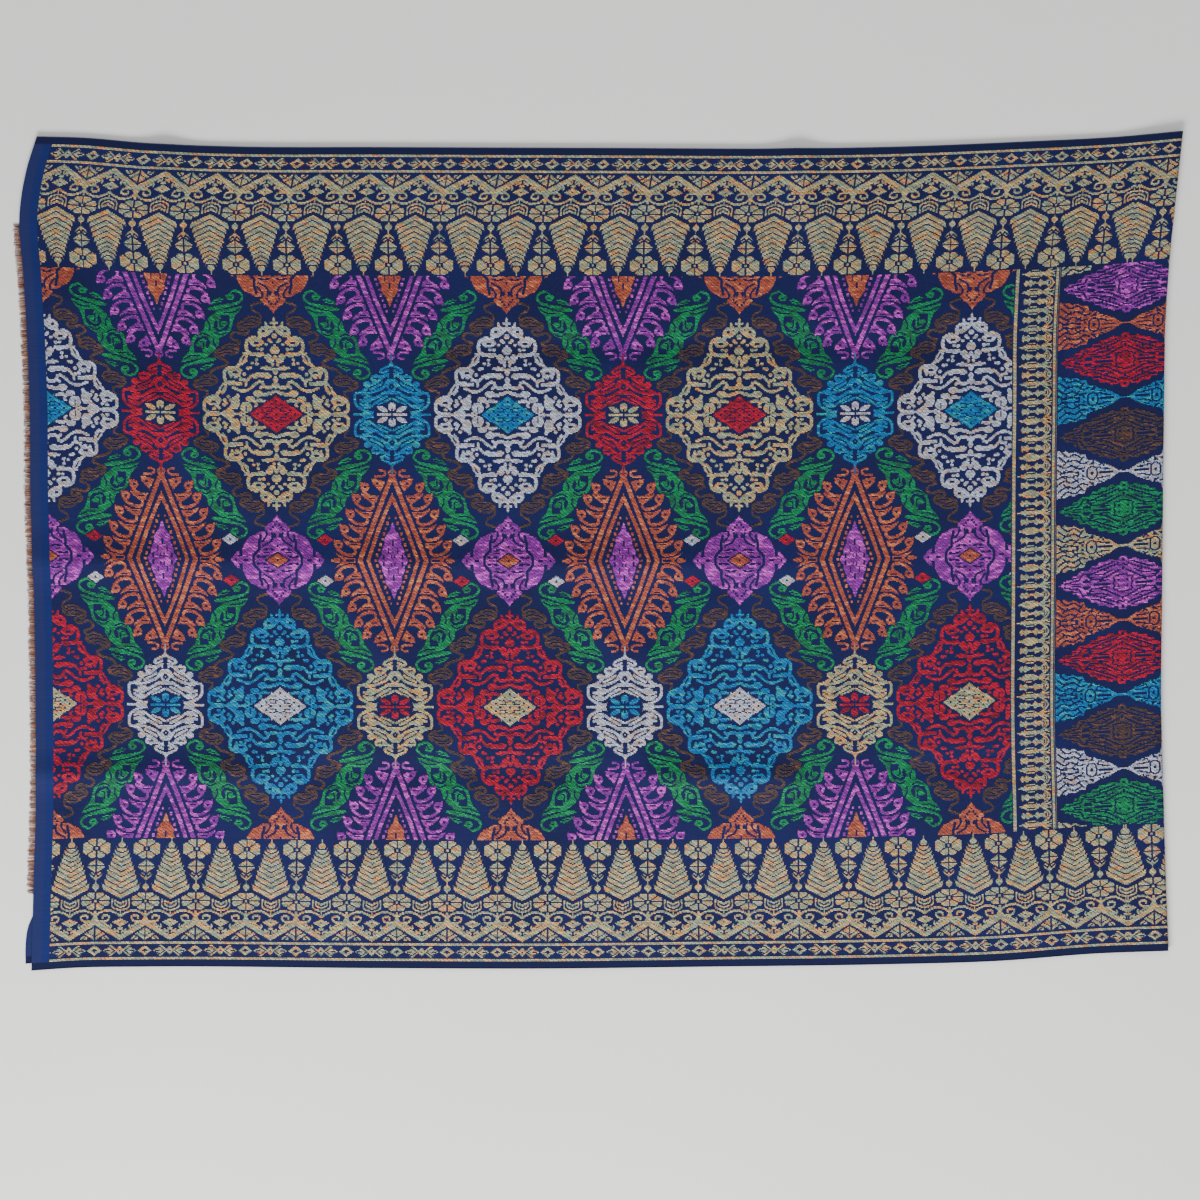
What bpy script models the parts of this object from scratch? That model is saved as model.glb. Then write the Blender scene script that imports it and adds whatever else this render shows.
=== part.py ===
"""A brocaded waist wrap, about 2.2 m long, folded once across its length and laid flat.

Metres, +Z up. X runs along the cloth, from its open cut ends (-X) to the fold (+X), and Y runs across
it, from the lower selvedge to the upper one. The under layer lies on z = 0, with the origin below its
middle. The upper layer carries the storage creases and the soft folds.
"""

import bpy
import numpy as np

MM = 0.001
CLOTH_THICKNESS = 1.0 * MM
LAYER_GAP = 1.0 * MM  # between the two layers over most of the cloth
FOLD_GAP = 4.0 * MM  # inside the fold
FOLD_SWELL = 70.0 * MM  # how far from the fold the layers begin to part
FOLD_STEPS = 6  # segments round the fold
UNDER_COLUMNS = 14
UPPER_COLUMNS = 30
EVEN_ROWS = 16  # rows of points across the cloth, before those at the creases
CREASE_ROWS = (-26.0 * MM, -11.0 * MM, 0.0, 11.0 * MM, 26.0 * MM)  # rows beside each storage crease
STORAGE_CREASES = (204.0 * MM, -11.0 * MM, -217.0 * MM)  # y of the creases across the whole cloth
LEAST_ROW_STEP = 9.0 * MM

# The outline of the upper layer. Selvedges: share of the way from the open ends to the fold, y in mm.
UPPER_SELVEDGE = (
    (0.00, 401.6), (0.04, 400.4), (0.10, 394.8), (0.17, 391.9), (0.30, 391.2), (0.50, 390.4),
    (0.66, 389.9), (0.76, 391.9), (0.86, 396.4), (0.95, 401.6), (1.00, 406.4),
)  # fmt: skip
LOWER_SELVEDGE = (
    (0.00, -406.4), (0.04, -403.6), (0.10, -402.6), (0.30, -404.0), (0.45, -404.5), (0.60, -402.6),
    (0.75, -400.4), (0.85, -397.2), (0.94, -389.8), (1.00, -387.0),
)  # fmt: skip
# The cut end and the fold: share of the way from the lower selvedge to the upper one, x in mm.
CUT_END = (
    (0.00, -551.2), (0.06, -550.0), (0.11, -549.0), (0.18, -547.1), (0.32, -547.1), (0.44, -548.5),
    (0.56, -551.9), (0.68, -552.9), (0.77, -555.8), (0.83, -558.7), (0.91, -562.6), (0.96, -556.0),
    (1.00, -546.1),
)  # fmt: skip
FOLD_LINE = (
    (0.00, 551.4), (0.08, 549.0), (0.18, 546.6), (0.30, 544.2), (0.43, 545.1), (0.67, 547.1),
    (0.77, 548.5), (0.85, 552.9), (0.92, 558.7), (1.00, 565.5),
)  # fmt: skip
# How far the under layer's cut end lies inside (+) the upper one's: share up the cloth, mm.
UNDER_END_INSET = (
    (0.00, -6.0), (0.02, -6.5), (0.045, -4.2), (0.06, 0.5), (0.075, 3.0), (0.30, 3.0), (0.70, 3.0),
    (0.90, 3.2), (1.00, 3.0),
)  # fmt: skip
UNDER_SELVEDGE_INSET = (6.5 * MM, 1.5 * MM)  # at the open ends, lower and upper; none at the fold

# Creases and soft folds of the upper layer, by hand: x and y of both ends, height and reach, in mm.
# A negative height is a trough in the broad swell below.
CREASES = (
    (-700, -9, 300, -15, 4.6, 34),
    (-230, 196, 500, 206, -2.6, 24),
    (-700, -217, -270, -215, 3.4, 24),
    (-320, -212, 40, -214, -2.4, 26),
    (20, -218, 220, -220, 4.2, 26),
    (250, -208, 520, -206, -1.8, 20),
    (-560, 300, -320, 10, 4.4, 40),
    (-275, -20, -190, -120, 3.0, 34),
    (-30, -35, 30, -118, 2.8, 32),
    (130, -35, 30, -120, 2.8, 32),
    (-430, 420, -390, 260, 3.2, 36),
    (180, 430, 225, 240, 3.4, 38),
    (425, 220, 425, 100, 2.2, 26),
    (230, -60, 170, -200, 2.6, 36),
)
CREASE_FADE = 0.22  # share of a crease's run over which it rises at each end
SWELL_HEIGHT = 3.2 * MM  # broad rise of the upper layer's middle
SWELL_HALF = (470.0 * MM, 330.0 * MM)  # half its length and half its width

# The cut weft ends that stand out from the under layer's cut end.
FRINGE_GAP = 0.3 * MM
FRINGE_STRIP = 1.6 * MM
FRINGE_THICKNESS = 0.8 * MM
FRINGE_SPAN = (0.085, 0.895)  # share of the way up the cloth
STRANDS = 200
STRAND_SHARE = 0.52  # share of its pitch that a strand fills at its root
STRAND_LENGTH = (4.2 * MM, 6.4 * MM)
STRAND_LEAN = 0.9 * MM
STRAND_WIDTH_SPREAD = (0.8, 1.2)
STRAND_SLANT = 0.94  # lower corner of a strand's tip, as a share of its length
FRINGE_SEED = 11

NAVY = (0.012, 0.030, 0.150, 1.0)
COPPER_BROWN = (0.230, 0.075, 0.030, 1.0)


def smooth(stations, at):
    """A cubic through stations of (place, value), each slope taken from the station's neighbours."""
    place, value = np.array(stations, float).T
    slope = np.gradient(value, place)
    i = np.clip(np.searchsorted(place, at, side="right") - 1, 0, len(place) - 2)
    step = place[i + 1] - place[i]
    t = (at - place[i]) / step
    from_here = (1 + 2 * t) * (1 - t) ** 2 * value[i] + t * (1 - t) ** 2 * step * slope[i]
    from_next = t**2 * (3 - 2 * t) * value[i + 1] - t**2 * (1 - t) * step * slope[i + 1]
    return from_here + from_next


def ease(share):
    """0 below 0, 1 above 1, and a smooth step between them."""
    t = np.clip(share, 0.0, 1.0)
    return t * t * (3 - 2 * t)


def rise(x, y):
    """Height of the upper layer over its lying height.

    A broad swell, plus for each crease its height, times a square fall with the distance from its
    line, times a fade at both of its ends. Never below nothing.
    """
    half_x, half_y = SWELL_HALF
    total = SWELL_HEIGHT * ease(2 - 2 * np.abs(x) / half_x) * ease(2 - 2 * np.abs(y) / half_y)
    for row in CREASES:
        x0, y0, x1, y1, height, reach = (value * MM for value in row)
        run = np.hypot(x1 - x0, y1 - y0)
        along = ((x - x0) * (x1 - x0) + (y - y0) * (y1 - y0)) / run**2
        across = np.abs((x - x0) * (y1 - y0) - (y - y0) * (x1 - x0)) / run
        fade = ease(along / CREASE_FADE) * ease((1 - along) / CREASE_FADE)
        total = total + height * fade * (1 - np.clip(across / reach, 0, 1)) ** 2
    return np.maximum(total, 0.0)


def rows_across():
    """Shares up the cloth of the rows of points: even ones, and closer ones beside each crease."""
    low, high = smooth(LOWER_SELVEDGE, 0.5) * MM, smooth(UPPER_SELVEDGE, 0.5) * MM
    close = [(y + step - low) / (high - low) for y in STORAGE_CREASES for step in CREASE_ROWS]
    even = [row / EVEN_ROWS for row in range(EVEN_ROWS + 1)]
    far = [v for v in even if min(abs(v - near) for near in close) * (high - low) > LEAST_ROW_STEP]
    return np.array(sorted(close + far))


def under_end(v):
    """X of the under layer's cut end."""
    return (smooth(CUT_END, v) + smooth(UNDER_END_INSET, v)) * MM


def under_point_y(share, v):
    """Y of the under layer: as the upper one, but drawn in at the open ends."""
    drawn_in = 1 - share
    low = smooth(LOWER_SELVEDGE, share) * MM + UNDER_SELVEDGE_INSET[0] * drawn_in
    high = smooth(UPPER_SELVEDGE, share) * MM - UNDER_SELVEDGE_INSET[1] * drawn_in
    return low + (high - low) * v


def upper_point_y(share, v):
    low = smooth(LOWER_SELVEDGE, share) * MM
    high = smooth(UPPER_SELVEDGE, share) * MM
    return low + (high - low) * v


def middle_surface(column, v):
    """The cloth's middle surface as a function of a column number and a share up the cloth.

    Columns run along the under layer from its cut end, round the fold as a half circle, and back
    along the upper layer to its cut end. The half circle's radius is half the distance between the
    layers there, and that distance eases out from the lying gap to the fold's.
    """
    flat_radius = (LAYER_GAP + CLOTH_THICKNESS) / 2
    fold_radius = (FOLD_GAP + CLOTH_THICKNESS) / 2
    centre_x = smooth(FOLD_LINE, v) * MM - CLOTH_THICKNESS / 2 - fold_radius
    under = np.clip(column / UNDER_COLUMNS, 0, 1)
    turn = np.pi * np.clip((column - UNDER_COLUMNS) / FOLD_STEPS, 0, 1)
    upper = 1 - np.clip((column - UNDER_COLUMNS - FOLD_STEPS) / UPPER_COLUMNS, 0, 1)
    on_upper = column > UNDER_COLUMNS + FOLD_STEPS / 2

    end_x = np.where(on_upper, smooth(CUT_END, v) * MM, under_end(v))
    share = np.where(on_upper, upper, under)
    x = end_x + (centre_x - end_x) * share
    y = np.where(on_upper, upper_point_y(share, v), under_point_y(share, v))
    radius = flat_radius + (fold_radius - flat_radius) * ease(1 - (centre_x - x) / FOLD_SWELL)
    lying = CLOTH_THICKNESS / 2 + radius * (1 - np.cos(turn))
    z = lying + np.where(column >= UNDER_COLUMNS + FOLD_STEPS, rise(x, y), 0.0)
    return x + radius * np.sin(turn), y, z


def material(name, colour, roughness, metallic):
    made = bpy.data.materials.new(name)
    made.use_nodes = True
    shader = made.node_tree.nodes["Principled BSDF"]
    shader.inputs["Base Color"].default_value = colour
    shader.inputs["Roughness"].default_value = roughness
    shader.inputs["Metallic"].default_value = metallic
    made.diffuse_color = colour
    return made


def folded_cloth(collection):
    """A grid whose points are moved onto the folded middle surface, given its thickness by Solidify."""
    rows = rows_across()
    columns = UNDER_COLUMNS + FOLD_STEPS + UPPER_COLUMNS
    bpy.ops.mesh.primitive_grid_add(x_subdivisions=columns, y_subdivisions=len(rows) - 1, size=2)
    cloth = bpy.context.active_object
    cloth.name = cloth.data.name = "folded_cloth"
    points = np.empty(len(cloth.data.vertices) * 3, np.float32)
    cloth.data.vertices.foreach_get("co", points)
    grid_x, grid_y, _ = points.reshape(-1, 3).T
    column = np.round((grid_x + 1) / 2 * columns)
    row = np.round((grid_y + 1) / 2 * (len(rows) - 1)).astype(int)
    moved = np.column_stack(middle_surface(column, rows[row]))
    cloth.data.vertices.foreach_set("co", moved.astype(np.float32).ravel())
    cloth.data.update()
    cloth.data.shade_smooth()
    cloth.data.materials.append(material("Navy cloth", NAVY, 0.8, 0.0))
    solid = cloth.modifiers.new("Thickness", "SOLIDIFY")
    solid.thickness = CLOTH_THICKNESS
    solid.offset = 0.0
    move_to(cloth, collection)


def fringe_outline():
    """The comb of weft ends, seen from above: its strip's edge along the cloth, then every strand.

    The strip's inner edge repeats the cloth's own rows of points, so the gap between them stays even.
    """
    start, end = FRINGE_SPAN
    rows = rows_across()
    inner = np.concatenate(([start], rows[(rows > start) & (rows < end)], [end]))
    back_x = np.interp(inner, rows, under_end(rows)) - FRINGE_GAP
    outline = list(zip(back_x, under_point_y(0.0, inner)))

    chance = np.random.default_rng(FRINGE_SEED)
    pitch = (end - start) / STRANDS
    for number in range(STRANDS):
        top = end - number * pitch
        bottom = top - pitch * STRAND_SHARE * chance.uniform(*STRAND_WIDTH_SPREAD)
        length, lean = chance.uniform(*STRAND_LENGTH), chance.uniform(-1, 1) * STRAND_LEAN
        root_top, root_bottom = (fringe_root(v, rows) for v in (top, bottom))
        outline.append(root_top)
        outline.append((root_top[0] - length, root_top[1] + lean))
        outline.append((root_bottom[0] - length * STRAND_SLANT, root_bottom[1] + lean))
        outline.append(root_bottom)
    outline.append(fringe_root(start, rows))
    return outline


def fringe_root(v, rows):
    """The point at this share up the cloth on the strip's outer edge."""
    x = np.interp(v, rows, under_end(rows)) - FRINGE_GAP - FRINGE_STRIP
    return x, float(under_point_y(0.0, v))


def weft_end_fringe(collection):
    """The comb's outline as a filled flat curve, extruded to its thickness and resting on z = 0."""
    curve = bpy.data.curves.new("weft_end_fringe", "CURVE")
    curve.dimensions = "2D"
    curve.fill_mode = "BOTH"
    curve.extrude = FRINGE_THICKNESS / 2
    outline = fringe_outline()
    spline = curve.splines.new("POLY")
    spline.points.add(len(outline) - 1)
    spline.use_cyclic_u = True
    for point, (x, y) in zip(spline.points, outline):
        point.co = (x, y, 0.0, 1.0)
    curve.materials.append(material("Copper weft ends", COPPER_BROWN, 0.5, 0.2))
    fringe = bpy.data.objects.new("weft_end_fringe", curve)
    fringe.location.z = FRINGE_THICKNESS / 2
    collection.objects.link(fringe)


def move_to(piece, collection):
    for other in piece.users_collection:
        other.objects.unlink(piece)
    collection.objects.link(piece)


def main():
    for leftover in list(bpy.data.objects):
        bpy.data.objects.remove(leftover, do_unlink=True)
    wrap = bpy.data.collections.new("Waist wrap")
    bpy.context.scene.collection.children.link(wrap)
    folded_cloth(wrap)
    weft_end_fringe(wrap)


main()
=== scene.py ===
"""Looks of the folded waist wrap: a navy plain weave sheet with brocading yarns laid on it as short floats.

The cloth is one sheet, folded once. A place on it is (s, v): s is how far along the cloth it lies from the
front cut end, in mm, and v is its share of the way from the lower selvedge to the upper one. The front layer
runs from s = 0 to the bend, and the back layer from the bend to the other cut end. The pattern is drawn with
formulas: each motif is a short table of brush lines, blobs, lozenges and patches about its own middle, in mm
or, where a comment says px, in photo pixels. A chart of yarn numbers is filled from them, and every run of
one yarn in the chart becomes raised floats.
"""

import bpy
import numpy as np
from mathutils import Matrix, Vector


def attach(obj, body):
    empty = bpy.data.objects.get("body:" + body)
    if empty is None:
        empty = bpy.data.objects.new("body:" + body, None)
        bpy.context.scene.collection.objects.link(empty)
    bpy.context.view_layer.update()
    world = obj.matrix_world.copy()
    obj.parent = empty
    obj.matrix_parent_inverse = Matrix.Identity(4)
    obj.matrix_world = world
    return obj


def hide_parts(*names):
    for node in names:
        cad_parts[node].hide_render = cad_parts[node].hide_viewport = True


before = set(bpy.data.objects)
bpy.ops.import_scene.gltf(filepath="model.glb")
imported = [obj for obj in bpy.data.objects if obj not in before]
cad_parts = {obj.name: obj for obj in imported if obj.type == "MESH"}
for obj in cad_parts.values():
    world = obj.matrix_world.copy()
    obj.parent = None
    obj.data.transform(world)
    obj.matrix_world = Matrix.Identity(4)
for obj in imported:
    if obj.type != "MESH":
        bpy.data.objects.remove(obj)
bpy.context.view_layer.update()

MM = 0.001

# Lie of the cloth, in mm. The outline and the creases are those of the solid.
CLOTH_THICKNESS = 1.0
LAYER_GAP = 1.0
FOLD_GAP = 4.0
FOLD_SWELL = 70.0
FLAT_RADIUS = (LAYER_GAP + CLOTH_THICKNESS) / 2
FOLD_RADIUS = (FOLD_GAP + CLOTH_THICKNESS) / 2
UPPER_RUN = 1095.5  # along the front layer, from its cut end to the bend
BEND_RUN = np.pi * FOLD_RADIUS
CLOTH_LENGTH = 2 * UPPER_RUN + BEND_RUN
CLOTH_WIDTH = 794.4
UPPER_SELVEDGE = (
    (0.00, 401.6), (0.04, 400.4), (0.10, 394.8), (0.17, 391.9), (0.30, 391.2), (0.50, 390.4),
    (0.66, 389.9), (0.76, 391.9), (0.86, 396.4), (0.95, 401.6), (1.00, 406.4),
)  # fmt: skip
LOWER_SELVEDGE = (
    (0.00, -406.4), (0.04, -403.6), (0.10, -402.6), (0.30, -404.0), (0.45, -404.5), (0.60, -402.6),
    (0.75, -400.4), (0.85, -397.2), (0.94, -389.8), (1.00, -387.0),
)  # fmt: skip
CUT_END = (
    (0.00, -551.2), (0.06, -550.0), (0.11, -549.0), (0.18, -547.1), (0.32, -547.1), (0.44, -548.5),
    (0.56, -551.9), (0.68, -552.9), (0.77, -555.8), (0.83, -558.7), (0.91, -562.6), (0.96, -556.0),
    (1.00, -546.1),
)  # fmt: skip
FOLD_LINE = (
    (0.00, 551.4), (0.08, 549.0), (0.18, 546.6), (0.30, 544.2), (0.43, 545.1), (0.67, 547.1),
    (0.77, 548.5), (0.85, 552.9), (0.92, 558.7), (1.00, 565.5),
)  # fmt: skip
UNDER_END_INSET = (
    (0.00, -6.0), (0.02, -6.5), (0.045, -4.2), (0.06, 0.5), (0.075, 3.0), (0.30, 3.0), (0.70, 3.0),
    (0.90, 3.2), (1.00, 3.0),
)  # fmt: skip
UNDER_SELVEDGE_INSET = (6.5, 1.5)
# x and y of both ends of each crease, its height and its reach. A negative height is a trough.
CREASES = (
    (-700, -9, 300, -15, 4.6, 34),
    (-230, 196, 500, 206, -2.6, 24),
    (-700, -217, -270, -215, 3.4, 24),
    (-320, -212, 40, -214, -2.4, 26),
    (20, -218, 220, -220, 4.2, 26),
    (250, -208, 520, -206, -1.8, 20),
    (-560, 300, -320, 10, 4.4, 40),
    (-275, -20, -190, -120, 3.0, 34),
    (-30, -35, 30, -118, 2.8, 32),
    (130, -35, 30, -120, 2.8, 32),
    (-430, 420, -390, 260, 3.2, 36),
    (180, 430, 225, 240, 3.4, 38),
    (425, 220, 425, 100, 2.2, 26),
    (230, -60, 170, -200, 2.6, 36),
)
CREASE_FADE = 0.22
CREASE_SOFTNESS = 5.0  # rounds each crease's line
SWELL_HEIGHT = 3.2
SWELL_HALF = (470.0, 330.0)

# The chart. A cell is this many mm along and across the cloth.
CELL = (0.7, 1.15)
ROWS = 691
MIDDLE_ROW = 345
BROCADE_START = 17.0  # plain cloth before the first brocade, along s
FOLD_EDGE = 1099.5  # s of the fold's outermost line
PIXEL = 0.97  # mm: tables marked px are in photo pixels
REPEAT = (160, 123)  # cells from one field motif's middle to the next
LEAF_START = 109.6  # mm from the brocade's start to the first leaf diamond's middle
SCROLL_START = -2.4  # the same for the first scroll diamond
FIELD_PERIOD = 224.0  # mm from one leaf diamond to the next, along the cloth
FIELD_ROW = 282.9  # mm from one row of leaf diamonds to the next
FIELD_DROP = 2.6  # mm: the field's middle row lies this far below the cloth's middle
BORDER_DEPTH = 124.0  # mm from the selvedge to the field
BORDER_SHARE = 1.015  # the border is woven a little closer than its tables
BORDER_PERIOD = 48.7  # mm from one shoot to the next
BORDER_START = {"lower": 19.0, "upper": 17.4}  # first shoot's axis, mm from the brocade's start
BORDER_CELLS = (36, 110)  # half a shoot's width and a little over the border's depth

GROUND = 0
LEAF_BODY, LEAF_HEART, POSY_BODY, POSY_HEART = 1, 2, 3, 4
ROSETTE_BODY, ROSETTE_STAR, SCROLL_BODY, SCROLL_HEART = 5, 6, 7, 8
FERN, VINE, SPARK = 9, 10, 11
GOLD, SILVER, COPPER, PURPLE, RED, CYAN, GREEN, BROWN = range(1, 9)

# Each yarn's main colour and the one that it turns to in patches (sRGB), and how much of it turns.
# The patches are partly the yarns' own uneven colour and partly painted sheen, seen in the brighter purple
# and copper.
YARNS = {
    GOLD: ((198, 176, 124), (218, 154, 88), 0.38),
    SILVER: ((188, 194, 210), (202, 180, 166), 0.34),
    COPPER: ((172, 80, 58), (214, 122, 76), 0.30),
    PURPLE: ((134, 34, 152), (206, 80, 200), 0.38),
    RED: ((180, 6, 44), (132, 6, 38), 0.36),
    CYAN: ((6, 116, 178), (36, 154, 166), 0.34),
    GREEN: ((4, 136, 76), (6, 102, 64), 0.36),
    BROWN: ((74, 54, 48), (112, 72, 52), 0.20),
}
TURN_SOFTNESS = 0.25  # noise values over which a yarn turns from one colour to the other
MINT_GREY = (138, 164, 142)  # gold yarn turns to this too
MINT_SOFTNESS = 0.2
MINT_MOST = 0.75
MINT_SEED = 21
PATCH_SIZE = (5.0, 2.2)  # mm: how far a yarn keeps its tone along and across the cloth
SPARE_CORNERS = 3  # patch corners beyond the cloth's far sides
SHADE_LEAST = 0.62  # of a float's own colour
SHADE_SPREAD = 0.66
SHADE_SEED = 5

FLOAT_LONGEST = 6  # cells
CUT_STEP = 2  # cells: a row's cuts lie this far from the cuts of the row below
CUT_REPEAT = 3  # rows
FLOAT_WIDTH = 1.06  # mm
FLOAT_HEIGHTS = (0.12, 0.36)  # mm over the middle surface, at a float's ends and in its middle
LEAST_CROWN = 0.35  # share of the rise between them that the shortest float keeps
FLOAT_INSET = 0.16  # mm kept free at both ends of a float
NORMAL_STEP = 1.0  # mm to the points that a normal is taken from


def smooth(stations, at):
    """A cubic through stations of (place, value), each slope taken from the station's neighbours."""
    place, value = np.array(stations, float).T
    slope = np.gradient(value, place)
    i = np.clip(np.searchsorted(place, at, side="right") - 1, 0, len(place) - 2)
    step = place[i + 1] - place[i]
    t = (at - place[i]) / step
    from_here = (1 + 2 * t) * (1 - t) ** 2 * value[i] + t * (1 - t) ** 2 * step * slope[i]
    from_next = t**2 * (3 - 2 * t) * value[i + 1] - t**2 * (1 - t) * step * slope[i + 1]
    return from_here + from_next


def ease(share):
    """0 below 0, 1 above 1, and a smooth step between them."""
    t = np.clip(share, 0.0, 1.0)
    return t * t * (3 - 2 * t)


def mixed(first, second, share):
    """First at share 0, second at share 1 and an even blend between them."""
    return first * (1 - share) + second * share


def unit(vectors):
    """The same directions at length 1."""
    return vectors / np.linalg.norm(vectors, axis=-1, keepdims=True)


def rise(x, y):
    """Height of the front layer over its lying height, in mm.

    A broad swell, plus for each crease its height times a square fall with the distance from its line,
    the line itself rounded off, times a fade at both of its ends.
    """
    half_x, half_y = SWELL_HALF
    total = SWELL_HEIGHT * ease(2 - 2 * np.abs(x) / half_x) * ease(2 - 2 * np.abs(y) / half_y)
    for x0, y0, x1, y1, height, reach in CREASES:
        run = np.hypot(x1 - x0, y1 - y0)
        along = ((x - x0) * (x1 - x0) + (y - y0) * (y1 - y0)) / run**2
        across = np.abs((x - x0) * (y1 - y0) - (y - y0) * (x1 - x0)) / run
        across = np.hypot(across, CREASE_SOFTNESS) - CREASE_SOFTNESS
        fade = ease(along / CREASE_FADE) * ease((1 - along) / CREASE_FADE)
        total = total + height * fade * (1 - np.clip(across / reach, 0, 1)) ** 2
    return np.maximum(total, 0.0)


def lying(s, v):
    """The cloth's middle surface at (s, v), in mm: two near flat layers and a half circle between them.

    The half circle's radius is half the distance between the layers, which eases out near the fold.
    """
    bend_x = smooth(FOLD_LINE, v) - CLOTH_THICKNESS / 2 - FOLD_RADIUS
    turn = np.clip((s - UPPER_RUN) / BEND_RUN, 0, 1)
    front = turn < 0.5
    share = np.minimum(np.where(front, s, CLOTH_LENGTH - s) / UPPER_RUN, 1.0)
    end = smooth(CUT_END, v) + np.where(front, 0.0, smooth(UNDER_END_INSET, v))
    drawn_in = np.where(front, 0.0, 1 - share)
    low = smooth(LOWER_SELVEDGE, share) + UNDER_SELVEDGE_INSET[0] * drawn_in
    high = smooth(UPPER_SELVEDGE, share) - UNDER_SELVEDGE_INSET[1] * drawn_in
    x = end + (bend_x - end) * share
    y = low + (high - low) * v
    radius = FLAT_RADIUS + (FOLD_RADIUS - FLAT_RADIUS) * ease(1 - (bend_x - x) / FOLD_SWELL)
    z = CLOTH_THICKNESS / 2 + radius * (1 + np.cos(np.pi * turn)) + np.where(turn == 0, rise(x, y), 0.0)
    return np.stack([x + radius * np.sin(np.pi * turn), y, z], -1)


def on_cloth(s, v, lift):
    """Points in metres, lifted off the cloth's middle surface along its outward normal by lift mm."""
    along = lying(s + NORMAL_STEP, v) - lying(s - NORMAL_STEP, v)
    step = NORMAL_STEP / CLOTH_WIDTH
    across = lying(s, v + step) - lying(s, v - step)
    normal = unit(np.cross(along, across))
    return (lying(s, v) + normal * np.asarray(lift)[..., None]) * MM


def curve(points, steps=6):
    """A smooth path through the points: a cubic span between each two, cut into steps."""
    p = np.asarray(points, float)
    if len(p) < 3:
        return p
    before = np.vstack([2 * p[0] - p[1], p[:-1]])
    after = np.vstack([p[1:], 2 * p[-1] - p[-2]])
    slope = (after - before) / 2
    t = np.linspace(0, 1, steps, endpoint=False)[None, :, None]
    here, there, leaving, arriving = p[:-1, None], p[1:, None], slope[:-1, None], slope[1:, None]
    path = (1 + 2 * t) * (1 - t) ** 2 * here + t * (1 - t) ** 2 * leaving
    path = path + t**2 * (3 - 2 * t) * there - t**2 * (1 - t) * arriving
    return np.vstack([path.reshape(-1, 2), p[-1:]])


def brush(x, y, width, tip, *points):
    """Within half a brush's width of the curve. The width changes evenly from width to tip."""
    path = curve(points)
    start, step = path[:-1], np.diff(path, axis=0)
    dx, dy = x[..., None] - start[:, 0], y[..., None] - start[:, 1]
    t = np.clip((dx * step[:, 0] + dy * step[:, 1]) / np.maximum((step**2).sum(1), 1e-9), 0, 1)
    away = np.hypot(dx - t * step[:, 0], dy - t * step[:, 1])
    share = (np.arange(len(start)) + t) / len(start)
    return (away < (width + (tip - width) * share) / 2).any(-1)


def blob(x, y, cx, cy, rx, ry):
    """Inside an ellipse about (cx, cy) with half widths rx and ry."""
    return ((x - cx) / rx) ** 2 + ((y - cy) / ry) ** 2 < 1


def lozenge(x, y, cx, cy, rx, ry):
    """Inside a lozenge about (cx, cy) with half diagonals rx and ry."""
    return np.abs(x - cx) / rx + np.abs(y - cy) / ry < 1


def patch(x, y, *corners):
    """Inside a polygon, by counting the sides that a ray to +X crosses."""
    inside = np.zeros(np.shape(x), bool)
    for (x0, y0), (x1, y1) in zip(corners, corners[1:] + corners[:1]):
        if y0 == y1:
            continue
        crosses = (y0 > y) != (y1 > y)
        inside ^= crosses & (x < (x1 - x0) * (y - y0) / (y1 - y0) + x0)
    return inside


SHAPES = {"brush": brush, "blob": blob, "loz": lozenge, "patch": patch}


def draw(code, x, y, yarn, table):
    """Fills code where a table's shapes lie, in order. A minus sign before a shape leaves ground bare."""
    for kind, *numbers in table:
        where = SHAPES[kind.lstrip("-")](x, y, *numbers)
        code[where] = GROUND if kind.startswith("-") else yarn


def filled(x, y, table):
    """Where a table's shapes lie, but for what its bare ones leave."""
    where = np.zeros(x.shape, bool)
    draw(where, x, y, True, table)
    return where


def line(width, *points):
    """A table's row: a brush line of one width."""
    return ("brush", width, width, *points)


def bare(width, *points):
    """A table's row: a line of one width that leaves ground bare."""
    return ("-brush", width, width, *points)


def fuller(table, more):
    """The same table with each of its brushes and blobs this much broader."""
    rows = []
    for kind, *numbers in table:
        if kind == "brush":
            numbers[:2] = [width + more for width in numbers[:2]]
        if kind == "blob":
            numbers[2:] = [half + more / 2 for half in numbers[2:]]
        rows.append((kind, *numbers))
    return rows


# A table's row is a kind of shape and its numbers: a brush has both widths and its points, a blob and a
# lozenge have their middle and half widths, and a patch has its corners. A minus sign leaves ground bare.
# The field's tables are in mm.

# Leaf diamond, one quarter.
LEAF_FRAME = (
    ("-patch", (0, 90), (5.4, 82), (36.8, 0), (0, 0)),
    ("patch", (0, 88), (3.6, 80), (34.8, 0), (29.6, 0), (0, 76.6)),
    ("patch", (0, 66), (2.4, 61), (16, 30), (26, 0), (22.2, 0), (11.5, 30), (4.2, 48), (0, 56.5)),
    ("patch", (0, 94), (1.6, 88.5), (4.2, 86), (3.4, 82), (0, 80)),
    ("-blob", 2, 84.6, 0.8, 0.9),
    ("brush", 2.2, 2.6, (12.4, 87.2), (7.8, 86.6), (6.8, 84), (9.4, 82), (16.4, 81.2)),
    ("patch", (6.8, 76.6), (12, 78.4), (20.4, 79.6), (19.2, 74.6), (15.6, 71), (12.4, 67.4), (9.6, 69.8)),
    ("-blob", 14.4, 74.8, 1.2, 1),
)  # fmt: skip
DOT_LINE = (17, 51)  # where the slanting line of square dots meets both axes
DOT_PITCH = 5.2
DOT_COUNT = 9
DOT_HALF = 1.35
LEAF_HEART_SHAPE = (
    ("patch", (0, 38), (0.9, 36), (3.2, 29), (5.4, 26), (8.8, 20), (7.8, 17.5), (9.6, 13), (11.6, 8.4),
     (11, 5.6), (14.8, 1.2), (14.8, 0), (0, 0)),
    bare(1.2, (0, 19), (0, 14)),
    bare(1.1, (4.4, 12.6), (4.4, 8)),
    bare(1.1, (9.2, 5.4), (9.2, 2)),
    bare(1.1, (1.6, 5.4), (1.6, 2.8)),
)  # fmt: skip
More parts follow.
